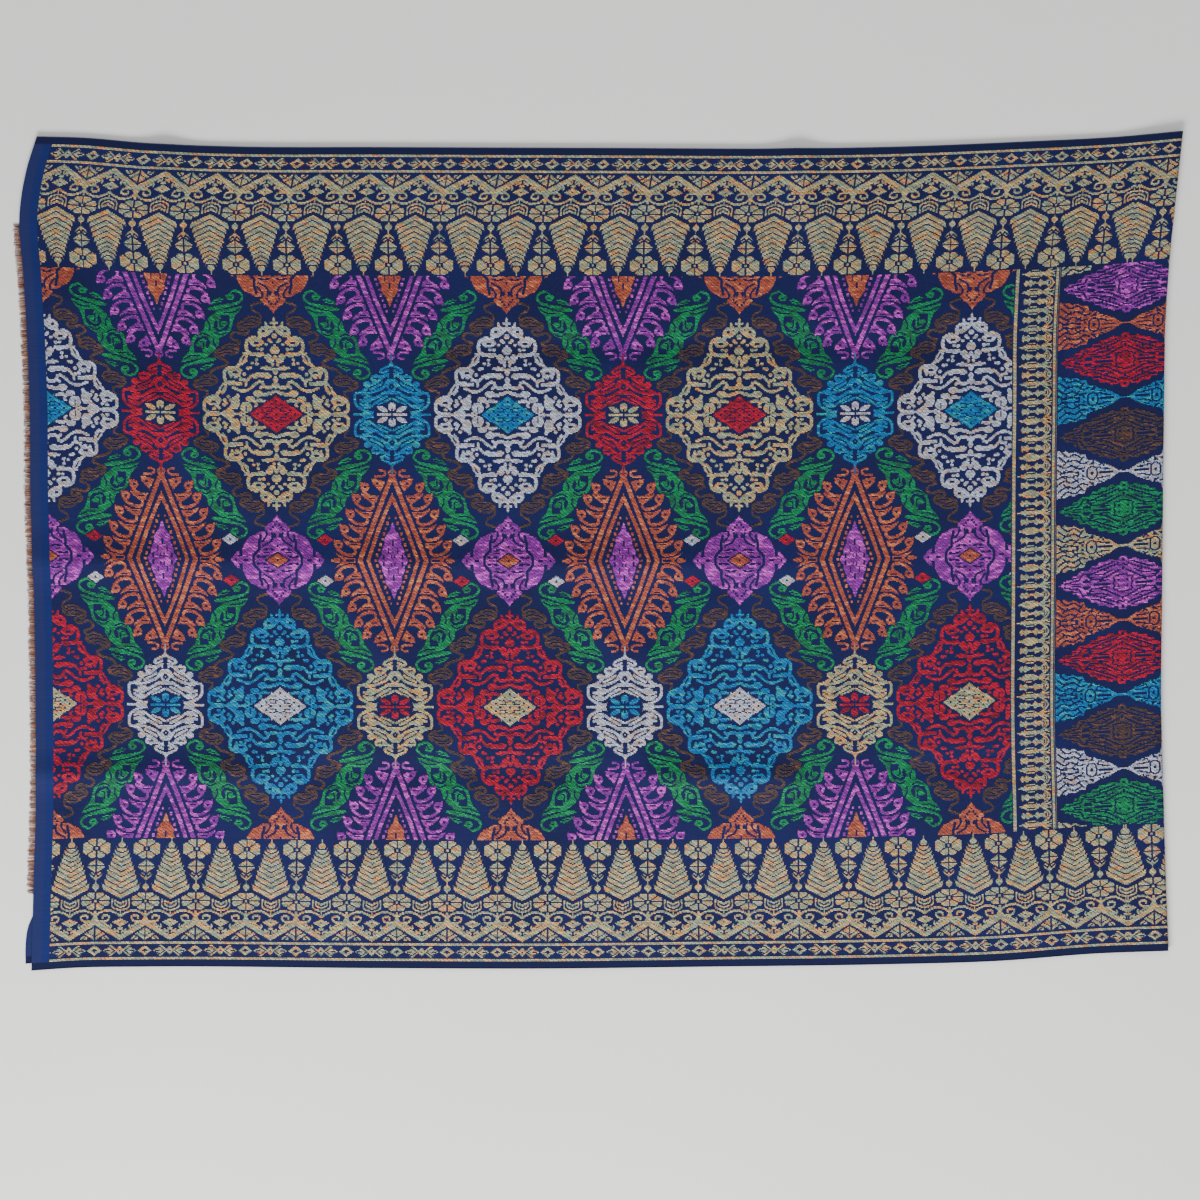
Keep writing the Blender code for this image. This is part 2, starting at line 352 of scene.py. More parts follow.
CURL_HEADS = ((26.4, 71.2), (34.4, 60.1), (40.6, 45.1), (46.7, 30.2), (52.6, 15.3))
SIDE_BUD = (
    ("patch", (36, 0), (36, 2.8), (44, 2.8), (50.5, 4.6), (57.5, 8.4), (53.5, 4), (49.2, 1), (49.2, 0)),
    ("patch", (51, 0), (52.6, 2.4), (55.6, 2.8), (61, 0)),
    bare(1.3, (38, 0), (45, 0)),
)


def curled_leaf(x, y):
    """A curl that hangs from its root under a bare hole and ends in a ring at (x, y), and its leaf above."""
    curl = (
        ("brush", 2.9, 3.2, (x + 1.6, y - 3.6), (x - 3.4, y - 8), (x - 9, y - 9.8), (x - 13.6, y - 9.8),
         (x - 16.2, y - 7.4), (x - 15.8, y - 2.6)),
        ("patch", (x + 5.2, y + 5.8), (x + 0.4, y + 3.6), (x + 4.6, y)),
        ("blob", x, y, 4.4, 4.2),
        ("-blob", x, y, 1.2, 1),
    )  # fmt: skip
    leaf = (
        ("patch", (x - 3.6, y + 5.8), (x - 11.4, y + 2.2), (x - 22, y + 1.8), (x - 22, y - 3),
         (x - 14.6, y - 4.4), (x - 11.2, y - 2.6), (x - 7.4, y + 0.2), (x - 4.6, y + 3.2)),
        bare(1.2, (x - 12.6, y), (x - 17, y - 0.2)),
    )  # fmt: skip
    return curl, leaf


def leaf_diamond(code, x, y):
    """Curls and leaves along the sides, a frame of two outlines, a line of square dots and the heart."""
    draw(code, x, y, LEAF_BODY, SIDE_BUD)
    for number, head in enumerate(CURL_HEADS):
        curl, leaf = curled_leaf(*head)
        draw(code, x, y, LEAF_BODY, curl if number == 0 else leaf + curl)
    draw(code, x, y, LEAF_BODY, LEAF_FRAME)
    for number in range(DOT_COUNT):
        up = round(number * DOT_PITCH, 1)
        out = DOT_LINE[0] * (1 - up / DOT_LINE[1])
        code[(np.abs(x - out) < DOT_HALF) & (np.abs(y - up) < DOT_HALF)] = LEAF_BODY
    draw(code, x, y, LEAF_HEART, LEAF_HEART_SHAPE)


# Scroll diamond, one quarter: crown, three scroll lobes joined by buds, crescents, the stem on the axis
# and the tadpoles round the heart.
SCROLL_SHAPE = (
    ("brush", 1.8, 2.4, (0, 93), (0, 84)), line(1.8, (-3.2, 88.4), (3.2, 88.4)),
    ("brush", 2, 3, (8.2, 88.6), (6.6, 85), (1.6, 82.8)),
    ("blob", 10.4, 80.4, 4.8, 4.2), ("brush", 3.2, 2.4, (1, 83.4), (5, 79), (9.4, 76.4), (14.6, 75.4)),
    ("-blob", 10.6, 80.6, 1.7, 1.2), ("patch", (13, 82.2), (16.4, 80.6), (15.4, 74.6), (12.2, 75.6)),
    ("brush", 2.6, 3.4, (11.5, 69.5), (16, 73.2), (22.5, 73.5), (26.6, 70.2), (27.2, 63.5), (24.2, 59),
     (17, 57.6), (12, 57.8)),
    ("blob", 17.8, 69.3, 6.2, 3.6), ("-blob", 17.4, 69, 2.6, 1.3),
    ("brush", 2.8, 2, (13.5, 75), (7, 79.5), (0, 83)),
    ("brush", 3, 3.2, (33.5, 42), (37, 44.2), (43.5, 44.5), (48.6, 41.4), (49.2, 34.5), (46.5, 30.2),
     (39.5, 29.2), (34, 29.4)),
    ("blob", 39.6, 40.4, 6.4, 3.6), ("-blob", 39, 40, 2.6, 1.2),
    ("brush", 3, 3.2, (54.5, 13), (58, 16.6), (64.5, 15.4), (69, 11.6), (69.4, 4), (64.5, 0.6),
     (56, 0)),
    ("blob", 60.8, 11.6, 6.4, 3.5), ("-blob", 60.4, 11.2, 2.6, 1.2),
    ("patch", (25.5, 59.5), (29.6, 60.4), (34.6, 52.5), (35.4, 48.4), (31.5, 46.8), (27, 50.8)),
    bare(1, (29.5, 55.8), (32, 50.6)),
    ("patch", (27.5, 58.5), (31.5, 60.5), (30.5, 55.5)),
    ("patch", (46.5, 31), (50, 31.4), (55.5, 24.5), (56, 20.4), (51.5, 18.5), (47.6, 22.8)),
    bare(1, (50.5, 27), (53, 22.4)),
    ("brush", 2.8, 2.4, (35, 47.6), (38, 45)), ("brush", 2.8, 2.4, (55.6, 20.6), (58, 17.2)),
    line(2.4, (12, 57.8), (22, 58.4)), line(2.4, (34, 29.6), (44, 30.6)),
    ("brush", 2.2, 2.6, (29, 27.5), (27.8, 32), (22.5, 37.2), (14.5, 38.6), (5, 37.2)),
    ("brush", 5.2, 2.6, (7.5, 37.4), (14, 38), (20.5, 36)),
    ("brush", 2.4, 2.2, (12.8, 30.8), (16, 31.4), (21, 27.8), (26.5, 23.6), (33.5, 22.4), (41.5, 25.6)),
    line(2.2, (12.8, 30.8), (12.4, 27.2), (14.8, 25.6)),
    ("blob", 0, 62, 4.6, 3.6), ("blob", 0, 66, 1.2, 2), ("blob", 0, 75.8, 2.6, 2.4),
    ("blob", 0, 54.4, 2.4, 2.6), ("blob", 6.8, 55.6, 3.6, 2.4), ("blob", 4.6, 51.8, 3.4, 2.2),
    ("-blob", 0, 51, 0.9, 2.2), ("blob", 2.4, 48.4, 1.4, 1.8),
    ("brush", 2.6, 1.6, (0, 43.6), (6, 44.2), (13.5, 44.4)), ("blob", 8.5, 44.6, 3.2, 1.9),
    ("blob", 0, 41.6, 2.6, 3.2), ("blob", 0, 33.2, 2.4, 3.2), ("-blob", 0, 37.4, 0.9, 0.9),
    ("brush", 3.2, 2.2, (0, 28.6), (4.5, 26.2), (9.4, 26), (12, 28.8)), ("blob", 0, 28, 3.4, 3),
    ("brush", 2.8, 3, (1, 22), (6, 20), (12.5, 18.6)), ("blob", 17.2, 19.8, 4.6, 3),
    line(2.6, (11.5, 12.4), (16, 13.6), (20.5, 12)), ("blob", 25, 14.6, 4.4, 2.6),
    ("brush", 2.4, 2, (20, 12), (19, 9.2), (20.4, 7.6)),
    ("blob", 29, 6.6, 5.6, 5.2), bare(0.9, (29, 2.6), (29, 7.8)),
    ("blob", 39.6, 10.6, 4.4, 6), ("blob", 37, 17.2, 1.8, 2.2), ("blob", 43, 6.4, 2.6, 1.8),
    ("blob", 46, 1.6, 5.2, 2.6), ("blob", 51, 0, 2.6, 1.6), ("blob", 41, 0, 2.2, 1.2),
    ("blob", 45.5, 4.6, 1.6, 1.4), line(1.6, (30, 0), (40, 0)), ("blob", 34.6, 0, 2.2, 1.8),
)  # fmt: skip
SCROLL_DOTS = (
    (5, 72), (8, 67.8), (12.4, 62.8), (6.8, 78.2), (16.5, 63.2), (3, 70.2), (18, 52.8),
    (22, 49.4), (17.6, 48.6), (26.8, 44.2), (30, 38.6), (33.8, 33.8), (24, 44.8), (30.6, 33),
    (38.6, 35.6), (43, 36.4), (35.4, 36.8), (46, 16.6), (49.6, 13), (50.6, 8.8), (55.4, 5.6),
    (60.2, 4.8), (44, 13.4), (57.5, 8), (48.5, 10),
)  # fmt: skip
SCROLL_HEART_SHAPE = (
    ("patch", (0, 18.6), (7, 12.6), (8.6, 13.6), (10.6, 10), (16, 6.6), (17.6, 7.6), (19.4, 4.6),
     (26.4, 0), (0, 0)),
    ("-blob", 0, 12.8, 1, 0.8), ("-blob", 4.8, 9.4, 1, 0.8), ("-blob", 0, 6.2, 1.1, 0.9),
    ("-blob", 9.2, 6.4, 1, 0.8), ("-blob", 4.6, 3.4, 1, 0.8), ("-blob", 13.6, 3.6, 1, 0.8),
    ("-blob", 9.4, 0, 1.1, 0.8), ("-blob", 18.4, 0, 1, 0.8), bare(1, (6.6, 6.4), (2.2, 4.8)),
    bare(1, (7, 2.6), (11.4, 2.2)), ("-blob", 0, 0, 1, 0.8),
)  # fmt: skip
SCROLL_DOT_HALF = (2, 1.7)
SCROLL_FULLER = 0.6


def scroll_diamond(code, x, y):
    """The scrollwork, its loose dots and the heart."""
    draw(code, x, y, SCROLL_BODY, fuller(SCROLL_SHAPE, SCROLL_FULLER))
    draw(code, x, y, SCROLL_BODY, [("blob", *middle, *SCROLL_DOT_HALF) for middle in SCROLL_DOTS])
    draw(code, x, y, SCROLL_HEART, SCROLL_HEART_SHAPE)


# Rosette, one quarter.
ROSETTE_SHAPE = (
    line(1.6, (0, 58), (0, 50)),
    ("patch", (0, 51), (5.2, 46.4), (4, 44.6), (0, 46.2)),
    ("brush", 2.2, 2.4, (3.5, 46.2), (8.5, 44), (10.4, 41.4), (7, 40.6), (3.4, 42.4)),
    ("brush", 2.6, 2.4, (3.8, 38.4), (9.6, 36.6), (14.5, 37.2), (18.6, 36.2), (18, 32.6), (15.2, 33.4)),
    ("brush", 3, 2.4, (8, 36.8), (13.5, 32), (17.6, 29.6), (22, 28.4)),
    ("blob", 23.8, 29.4, 3.4, 2.8), ("brush", 2.2, 2.4, (25, 28), (24, 25), (26.8, 23.4)),
    line(2.6, (22, 27.4), (24.8, 24), (30.5, 21.2), (35.2, 19.8), (35.6, 14), (34.2, 8.6),
     (28, 4.6), (21.5, 2.4), (13.5, 3)),
    ("brush", 2.6, 1.2, (20, 0.4), (29, 0.6), (37, 0.4)),
    ("brush", 2.8, 2.4, (2.4, 33.6), (6, 29.6), (9, 25.4), (16, 22.4), (22.5, 20.4), (26.5, 19.6)),
    ("blob", 26.6, 20.4, 3.6, 2.4),
    line(2.4, (9, 30.4), (14.5, 27), (20.5, 23.8)),
    ("patch", (0, 35), (1.6, 34), (5.6, 27), (1.4, 20.4), (0, 20)),
    ("-loz", 0, 27.2, 3, 3.6), ("loz", 0, 27, 1, 1.2),
    ("brush", 2.8, 2.4, (1, 20.6), (5.5, 21.6), (11, 18.6), (18, 14.8), (24.5, 12.2), (30.5, 14)),
    ("blob", 22, 15.6, 5.4, 2.6),
    line(2.4, (4.5, 17.4), (10.5, 14.6), (16.5, 10.6), (21, 7.4), (26.5, 7.6), (30, 10.4)),
    ("blob", 24, 8.8, 3.6, 2.2), ("brush", 2, 2.2, (1.2, 15.6), (6.2, 12.6), (12.6, 9.6)),
    ("brush", 2, 1.4, (2.8, 39.6), (3, 36)),
)  # fmt: skip
STAR_SHAPE = (
    ("-blob", 0, 0, 18, 12.4),
    ("blob", 0, 7.4, 3.8, 4.4), ("-blob", 0, 4.6, 0.8, 0.9),
    ("patch", (3.6, 1.9), (5, 5.4), (9.4, 8.2), (14.8, 7.6), (12.6, 4.4), (8.6, 2.1)),
    ("blob", 12.4, 0, 2.7, 1.6), ("brush", 1.4, 1, (1, 0), (18.5, 0)), ("blob", 4.4, 0, 2.6, 1.2),
)  # fmt: skip
ROSETTE_FULLER = 0.35


def rosette(code, x, y):
    """The rosette's petals and scrolls, with a small star in a bare middle."""
    draw(code, x, y, ROSETTE_BODY, fuller(ROSETTE_SHAPE, ROSETTE_FULLER))
    draw(code, x, y, ROSETTE_STAR, STAR_SHAPE)


# Small round posy, one quarter.
POSY_SHAPE = (
    ("patch", (0, 44.4), (2.2, 41.2), (4.2, 38), (9.2, 34.8), (12.4, 30.6), (11, 27.6), (18.2, 27.2),
     (21.4, 25), (27.7, 22.2), (31.6, 16.4), (34.1, 11.2), (34.4, 4.4), (34.4, 0), (0, 0)),
    ("patch", (36.6, 8.8), (40.2, 7.4), (42.4, 4.2), (46, 0), (33.5, 0), (33.5, 2.8), (37.6, 3.2)),
    ("-blob", 0, 37.4, 1, 1), ("-blob", 2.2, 34.6, 0.9, 0.9), ("-blob", 4, 32, 1, 1),
    ("-blob", 5.8, 29.4, 1, 1.2), ("-blob", 2.8, 24, 1.5, 2.5), ("-blob", 0, 13.8, 0.9, 1.4),
    ("-blob", 30.6, 0, 2.2, 1.3), ("-blob", 40.6, 0, 1, 0.8), ("-blob", 16.2, 23.6, 1.6, 1.3),
    ("-brush", 2.2, 2.5, (16.2, 23.6), (16.8, 20.2), (18, 16), (17.6, 11.2), (20.4, 7.6), (23.2, 4.2),
     (23.6, 0)),
    bare(1.7, (10.6, 28.4), (10.2, 24.4), (12.4, 20.8), (15.4, 17.8)),
    ("-brush", 1.7, 1.9, (5.2, 26.4), (5, 20.4), (8.2, 17), (13.6, 14)),
    bare(1.8, (3.4, 9.8), (8, 11), (13.2, 9.6)),
    bare(1.8, (10.8, 4), (14.8, 3), (19.6, 3.4)),
    bare(1.2, (9, 7), (13, 7.8)),
)  # fmt: skip
POSY_HEART_SHAPE = (("-loz", 0, 0, 12.6, 8.4), ("loz", 0, 0, 10.9, 6.9), ("-blob", 0, 0, 1.1, 0.8))


def posy(code, x, y):
    """The posy, full but for its bare lines and holes, and its lozenge heart."""
    draw(code, x, y, POSY_BODY, POSY_SHAPE)
    draw(code, x, y, POSY_HEART, POSY_HEART_SHAPE)


# Fern, one half about its middle. The other half is the same turned half round.
FERN_MIDDLE = (51.7, 64.4)
FERN_SHAPE = (
    ("patch", (-30.6, 28.4), (-28.2, 23.1), (-22.9, 17.6), (-20.8, 11.6), (-19, 3.7), (-13.5, -0.5),
     (-6.6, -4.2), (0, 0), (7.6, 4.2), (6.4, 10.5), (2.7, 15.6), (-1.9, 19.4), (-5, 22.2), (-15.6, 24.4)),
    ("-patch", (-17.2, 18.8), (-9.6, 18.2), (-3.4, 12.4), (-1.8, 7), (-5.6, 2.4), (-14.5, 3.4),
     (-17.4, 9), (-17.8, 13.7)),
    ("patch", (-6.2, 20), (-9.8, 17), (-10.2, 12.6), (-13.6, 13.2), (-16.2, 10.6), (-12.6, 6.8),
     (-8.4, 4.2), (-5, 6), (-6.2, 10.5), (-4.4, 15.2)),
    bare(1, (-8.6, 14.4), (-8.4, 8.6), (-10.8, 7.6)),
    bare(1.3, (-27.6, 24.8), (-21.6, 21.8), (-13, 20.8)),
    bare(1.1, (3.8, 13), (1.6, 8.6), (2, 4.4)),
    bare(1.2, (-14, 1.4), (-8.4, -0.6), (-3.4, 1.8)),
    line(2.6, (2, 24.4), (-9.3, 27), (-17.7, 28.6), (-26, 30.7), (-30.6, 35.2), (-29, 40.2),
     (-22.9, 42.4), (-17.4, 40.6), (-15.6, 37)),
    ("patch", (3.2, 25.4), (-2, 22.4), (-10, 24.2), (-22, 28), (-12, 29.4)),
    ("blob", -19, 36.6, 4.2, 3.3), ("-blob", -19.4, 36.4, 1.1, 0.8),
    ("patch", (1.8, 28.2), (-2.4, 32.6), (-8, 35.2), (-13.4, 34.8), (-9.6, 30.8), (-3.4, 29.6)),
    bare(0.9, (-10.4, 33), (-4.4, 31.4)),
)  # fmt: skip


def fern(code, x, y):
    """Both halves of the fern between a leaf diamond and a scroll diamond."""
    cx, cy = FERN_MIDDLE
    for turn in (1, -1):
        draw(code, turn * (x - cx), turn * (y - cy), FERN, FERN_SHAPE)


# Vine beside the scroll diamond, from the diamond's middle.
VINE_CLUSTERS = ((23.6, 88.4), (45.4, 61.6), (67.4, 31.2))
VINE_LINES = (
    ("brush", 2.6, 2.2, (11.6, 108.8), (20.6, 105.4), (20, 101), (13.8, 97.4), (12.6, 93), (16, 90)),
    ("brush", 3, 2.8, (31, 84.4), (24.4, 81.4), (28.4, 77.4), (38, 79.4), (42, 75.6), (39, 71.8),
     (33.4, 69.6), (37, 66)),
    ("brush", 3, 2.8, (57, 60), (57.4, 56), (51.6, 53.2), (45.8, 50), (49.8, 46), (59, 43),
     (63, 39.4), (63.4, 36)),
    ("brush", 2.8, 1.8, (79, 27), (74, 23.4), (66.6, 22), (66.8, 18.6), (69.6, 16)),
)  # fmt: skip
CLUSTER_SHAPE = (
    ("blob", -2.6, 1.2, 9.4, 6),
    ("blob", 7.4, -2.8, 5.4, 5),
    bare(1.1, (-8.6, 2.8), (-3, 4.4), (2, 3.4)),
    bare(1.1, (-7, -0.2), (-2, 1.4), (4, 0.6), (8, -1.6)),
    bare(1.1, (-2, -2.6), (4, -2.8), (9, -4.6)),
)


def vine(code, x, y):
    """Berry clusters and the winding lines that join them."""
    for cx, cy in VINE_CLUSTERS:
        draw(code, x - cx, y - cy, VINE, CLUSTER_SHAPE)
    draw(code, x, y, VINE, VINE_LINES)


# Small diamond beside the posy, from the posy's middle.
SPARK_MIDDLE = (46, 19.8)
SPARK_SHAPE = (
    ("-loz", *SPARK_MIDDLE, 9.8, 7.2),
    ("loz", *SPARK_MIDDLE, 8.4, 5.8),
    ("-blob", *SPARK_MIDDLE, 1.3, 0.9),
)


def field_repeat():
    """Codes of a quarter of the field's repeat, from a leaf diamond's middle to a scroll diamond's."""
    wide, high = REPEAT
    x, y = np.meshgrid((np.arange(wide) + 0.5) * CELL[0], (np.arange(high) + 0.5) * CELL[1])
    far_x, far_y = wide * CELL[0] - x, high * CELL[1] - y
    code = np.zeros(x.shape, np.int8)
    vine(code, far_x, far_y)
    fern(code, x, y)
    leaf_diamond(code, x, y)
    posy(code, far_x, y)
    rosette(code, x, far_y)
    scroll_diamond(code, far_x, far_y)
    draw(code, far_x, y, SPARK, SPARK_SHAPE)
    return code


# Border, half of one shoot's width, in px: x from the shoot's axis, y from the selvedge.
FLOWER_AXIS = 25.1
HEM_BANDS = (
    ("patch", (-1, 7.2), (30, 7.2), (30, 10.1), (-1, 10.1)),
    ("patch", (-1, 22.8), (30, 22.8), (30, 25.7), (-1, 25.7)),
)
CHAIN = (
    ("loz", 0, 16.4, 4.2, 5), ("-blob", 0, 16.4, 1, 0.9),
    ("loz", 9.2, 16.4, 7.6, 6.2), bare(0.9, (5, 16.4), (10, 12.9), (14, 14.6)),
    bare(0.9, (5, 16.4), (10, 19.9), (14, 18.2)), ("-blob", 12.4, 16.4, 2.2, 0.9),
    ("loz", FLOWER_AXIS, 16.4, 7.2, 5.2), ("-loz", FLOWER_AXIS, 16.4, 2.6, 1.9),
)  # fmt: skip
ZIGZAG = (
    line(4.9, (-2, 28.3), (FLOWER_AXIS, 44.5)),
    line(4.9, (0, 29.5), (FLOWER_AXIS, 44.5)),
    ("patch", (9.5, 27.2), (19, 27.2), (16.5, 31.6), (13, 30.6)),
    bare(0.8, (12.6, 27.6), (16.4, 30.4)),
    ("loz", FLOWER_AXIS, 33.2, 10, 6.8), bare(0.9, (FLOWER_AXIS, 27), (FLOWER_AXIS, 40)),
    bare(0.8, (18.6, 34.4), (FLOWER_AXIS, 30.6)),
    ("patch", (0.7, 33.4), (6.8, 36.4), (6.4, 38.6), (0.7, 36.4)),
    ("loz", 0, 38.8, 3.6, 2), ("loz", 0, 44.8, 8.4, 4.4), ("-blob", 0, 44.8, 1.1, 0.9),
)  # fmt: skip
WAVE = (
    ("brush", 2.2, 2, (0, 51), (5, 54.4), (10.5, 56.4), (17.5, 55.9), (22.6, 53.2), (24.4, 50),
     (22, 46.6), (17, 45.4), (12.2, 47.2), (11, 50.2), (14.2, 52), (18, 51), (17.6, 48.8)),
    ("brush", 2, 1.8, (24.8, 48), (FLOWER_AXIS, 57)),
    line(2, (24.4, 47.2), (16, 43.6), (9.6, 39.6), (9.2, 42.2)),
)  # fmt: skip
BRACKETS = (
    line(1.9, (0, 56.6), (8.2, 60.2), (8.3, 67.5)),
    line(1.8, (0, 60), (5.2, 62.6), (5.4, 66.6)),
    line(1.8, (0, 63.4), (3.2, 65.4)),
    ("brush", 1.6, 1.4, (0, 52.5), (0, 56.6)),
)
SHOOT_STEPS = 10  # chevrons up the shoot
SHOOT_BASE = 68.6
SHOOT_PITCH = (5.9, 4.2)  # at the base and at the tip
SHOOT_SLOPE = (0.55, 0.60)
SHOOT_HALF = (19.2, 17.1, 15.7, 14.4, 12.9, 11.4, 9.9, 8.6, 7.4, 5.6)
CHEVRON_GAP = 1.2
CHEVRON_BEVEL = 1.0
SHOOT_TIP = (
    ("blob", 0, 122.6, 3.4, 3.6),
    ("brush", 1.8, 1.4, (0, 118), (0, 129.6)),
    bare(0.7, (-1, 119.4), (4, 119.4)),
)
FLOWERS = ((66.4, 15, 9.2), (119.2, 14.8, 10))  # middle, half width and half height
BETWEEN_SHOOTS = (
    ("loz", FLOWER_AXIS, 80.6, 4.4, 4), line(1.7, (FLOWER_AXIS, 75.6), (FLOWER_AXIS, 90)),
    ("patch", (FLOWER_AXIS, 86.6), (20.6, 90.4), (18, 95.4), (21.6, 95), (FLOWER_AXIS, 97)),
    bare(1.4, (19.4, 94), (23, 91.4), (FLOWER_AXIS, 93.6)),
    ("-loz", FLOWER_AXIS, 101.4, 12, 8.8), ("loz", FLOWER_AXIS, 101.4, 10, 7.2),
    bare(0.9, (FLOWER_AXIS, 93), (FLOWER_AXIS, 110)),
    bare(1.3, (13, 101.4), (FLOWER_AXIS, 101.4)),
)  # fmt: skip


def chevrons():
    """The shoot's chevrons: each rises outwards from the axis, and they narrow from base to tip."""
    rows, base = [], SHOOT_BASE
    for number in range(SHOOT_STEPS):
        share = number / (SHOOT_STEPS - 1)
        pitch = SHOOT_PITCH[0] + (SHOOT_PITCH[1] - SHOOT_PITCH[0]) * share
        slope = SHOOT_SLOPE[0] + (SHOOT_SLOPE[1] - SHOOT_SLOPE[0]) * share
        half = SHOOT_HALF[number]
        outer = base + slope * half
        thick = pitch - CHEVRON_GAP
        foot = (half - CHEVRON_BEVEL, outer - CHEVRON_BEVEL)
        rows.append(("patch", (0, base), foot, (half, outer + thick), (0, base + thick)))
        base += pitch
    return rows


# Shares of a flower's half width and half height.
PETAL_OUT = 0.62
PETAL_HALF = (0.37, 0.38)


def flower(middle, wide, high):
    """Eight petals round the flower axis, parted by bare lines: half of it shows on this side."""
    rows = []
    for angle in (67.5, 22.5, -22.5, -67.5):
        turn = np.radians(angle)
        cx = FLOWER_AXIS - PETAL_OUT * wide * np.cos(turn)
        cy = middle + PETAL_OUT * high * np.sin(turn)
        rows.append(("blob", cx, cy, PETAL_HALF[0] * wide, PETAL_HALF[1] * high))
    for angle in (90, 45, 0, -45, -90):
        turn = np.radians(angle)
        end = (FLOWER_AXIS - wide * np.cos(turn), middle + high * np.sin(turn))
        rows.append(bare(1, (FLOWER_AXIS, middle), end))
    rows.append(("blob", FLOWER_AXIS, middle, 1.4, 1.2))
    return rows


def border_repeat():
    """Codes of half a shoot's width of the border, from the selvedge to the field."""
    wide, high = BORDER_CELLS
    x, y = np.meshgrid((np.arange(wide) + 0.5) * CELL[0], (np.arange(high) + 0.5) * CELL[1])
    x, y = x / PIXEL, y / PIXEL * BORDER_SHARE
    code = np.zeros(x.shape, np.int8)
    for table in (HEM_BANDS, CHAIN, ZIGZAG, WAVE, BRACKETS, BETWEEN_SHOOTS, chevrons(), SHOOT_TIP):
        draw(code, x, y, GOLD, table)
    for middle, wide_half, high_half in FLOWERS:
        draw(code, x, y, GOLD, flower(middle, wide_half, high_half))
    return code


# Head panel, in px: x from its own middle line towards the cut end, y from a diamond's middle.
PANEL_INSET = 41  # px from the fold to the panel's middle line
PANEL_MIDDLE = FOLD_EDGE - PANEL_INSET * PIXEL  # s of that line, mm
PANEL_HALF = 66.6  # half a diamond's length, px
PANEL_PITCH = 72.3  # mm from one diamond to the next
PANEL_FIRST = 251.2  # y of the first diamond from the middle row, mm
PANEL_EDGE = 112.0  # where the field ends, px
SPINDLE_PITCH = 17.85  # mm
DIAMOND_YARNS = np.array([PURPLE, RED, BROWN, GREEN])
GLASS_YARNS = np.array([COPPER, CYAN, SILVER, GOLD])
DIAMOND_SHAPE = (
    ("patch", (64.5, 0), (58.5, 2.8), (60, 4), (51.5, 6.2), (49.5, 9.4), (46, 9), (43.5, 13),
     (38, 13.6), (33, 14.6), (31.5, 18), (26, 18.4), (24.5, 21.4), (17, 22), (13, 24.6),
     (5, 23), (3.4, 26.8), (0, 27.2), (0, 0)),
    bare(1.5, (58.5, 1.6), (50, 3.6), (44, 4.8), (41, 9.4)),
    bare(1.4, (53, 5.8), (46.5, 7.4)), bare(1.3, (50, 1), (43, 1.4)),
    ("-blob", 36.4, 2.6, 4, 2.4), line(1.6, (39, 0.6), (33.6, 0.6)),
    bare(1.6, (40, 11.2), (32.5, 10), (25, 12.6), (13.5, 16.6), (5, 19.8)),
    bare(1.6, (33, 5.6), (27, 4.6), (18, 6), (9.5, 10.4), (3, 13.4)),
    bare(1.5, (29, 0.4), (21, 0.4), (13, 0.4)), bare(1.4, (23, 3), (14, 3.6)),
    bare(1.5, (27, 9.2), (19, 10), (11, 13.4)), bare(1.4, (36, 8), (29, 7.2)),
    bare(1.5, (24, 16.6), (17, 18.6), (9, 21.6)),
    bare(1.5, (31, 15.4), (24, 15.4)),
    bare(1.2, (9.6, 6.4), (8.4, 3.2), (9.6, 0)), bare(1.3, (8, 6.8), (0, 9)),
    ("-blob", 4.4, 3.2, 1.1, 1), ("-blob", 0, 23.6, 1.5, 1.4), ("-blob", 0, 15, 1.1, 1.8),
    bare(1.3, (4.4, 17.4), (0, 18.8)), ("-blob", 17.6, 13, 1.5, 0.9),
)  # fmt: skip
HOURGLASS_SHAPE = (
    ("patch", (66.6, 24.6), (62, 22.6), (58, 23.6), (54, 21), (49, 22.4), (44, 19.4),
     (38.5, 19.8), (37, 14.6), (34, 13), (29, 13.2), (26, 10.6), (20.5, 9.6), (17, 7.6),
     (13, 6.6), (9, 3.6), (4.4, 1), (0, 0.8), (0, 0), (66.6, 0)),
    ("-blob", 31.6, 0, 1.5, 1.6), bare(1.4, (36.6, 0), (35.8, 4.4), (31.6, 6.6), (27.4, 4.6),
     (26.6, 0)),
    bare(1.5, (26, 5.8), (19, 4), (14, 3.6)), bare(1.4, (24, 0.4), (11, 0.4)),
    ("-blob", 31, 10, 1.5, 1.2), bare(1.6, (66, 4.4), (60, 1.6), (53, 2.8), (45, 0.8)),
    bare(1.6, (66, 10.5), (59, 6.4), (52, 8.6), (44, 5), (39, 6.2)),
    bare(1.6, (65, 17.6), (57, 12.4), (49, 14.2), (42, 10.2), (36, 11.4)),
    bare(1.5, (62, 22), (56, 17.6), (49, 19.6), (42, 15.4)),
    bare(1.3, (60, 9.8), (55, 14.6)), bare(1.3, (50, 4), (45, 8.4)),
    bare(1.3, (44, 12.6), (40, 17)), bare(1.3, (63, 0.6), (57, 4.6)),
    bare(1.3, (34, 8.8), (29.6, 12.6)), bare(1.3, (24.6, 8), (21, 9.4)),
    ("-blob", 46, 2, 1.3, 0.9), ("-blob", 20, 7.4, 1, 0.9), ("-blob", 40.6, 2.4, 1.2, 1.2),
)  # fmt: skip
PANEL_LINES = ((67.4, 68.4), (69.2, 71.6), (108.2, 111.4))  # gold lines along the panel's edge, px
TRIM_SPAN = (72.4, 107.6)  # the spindles and buds between them, px
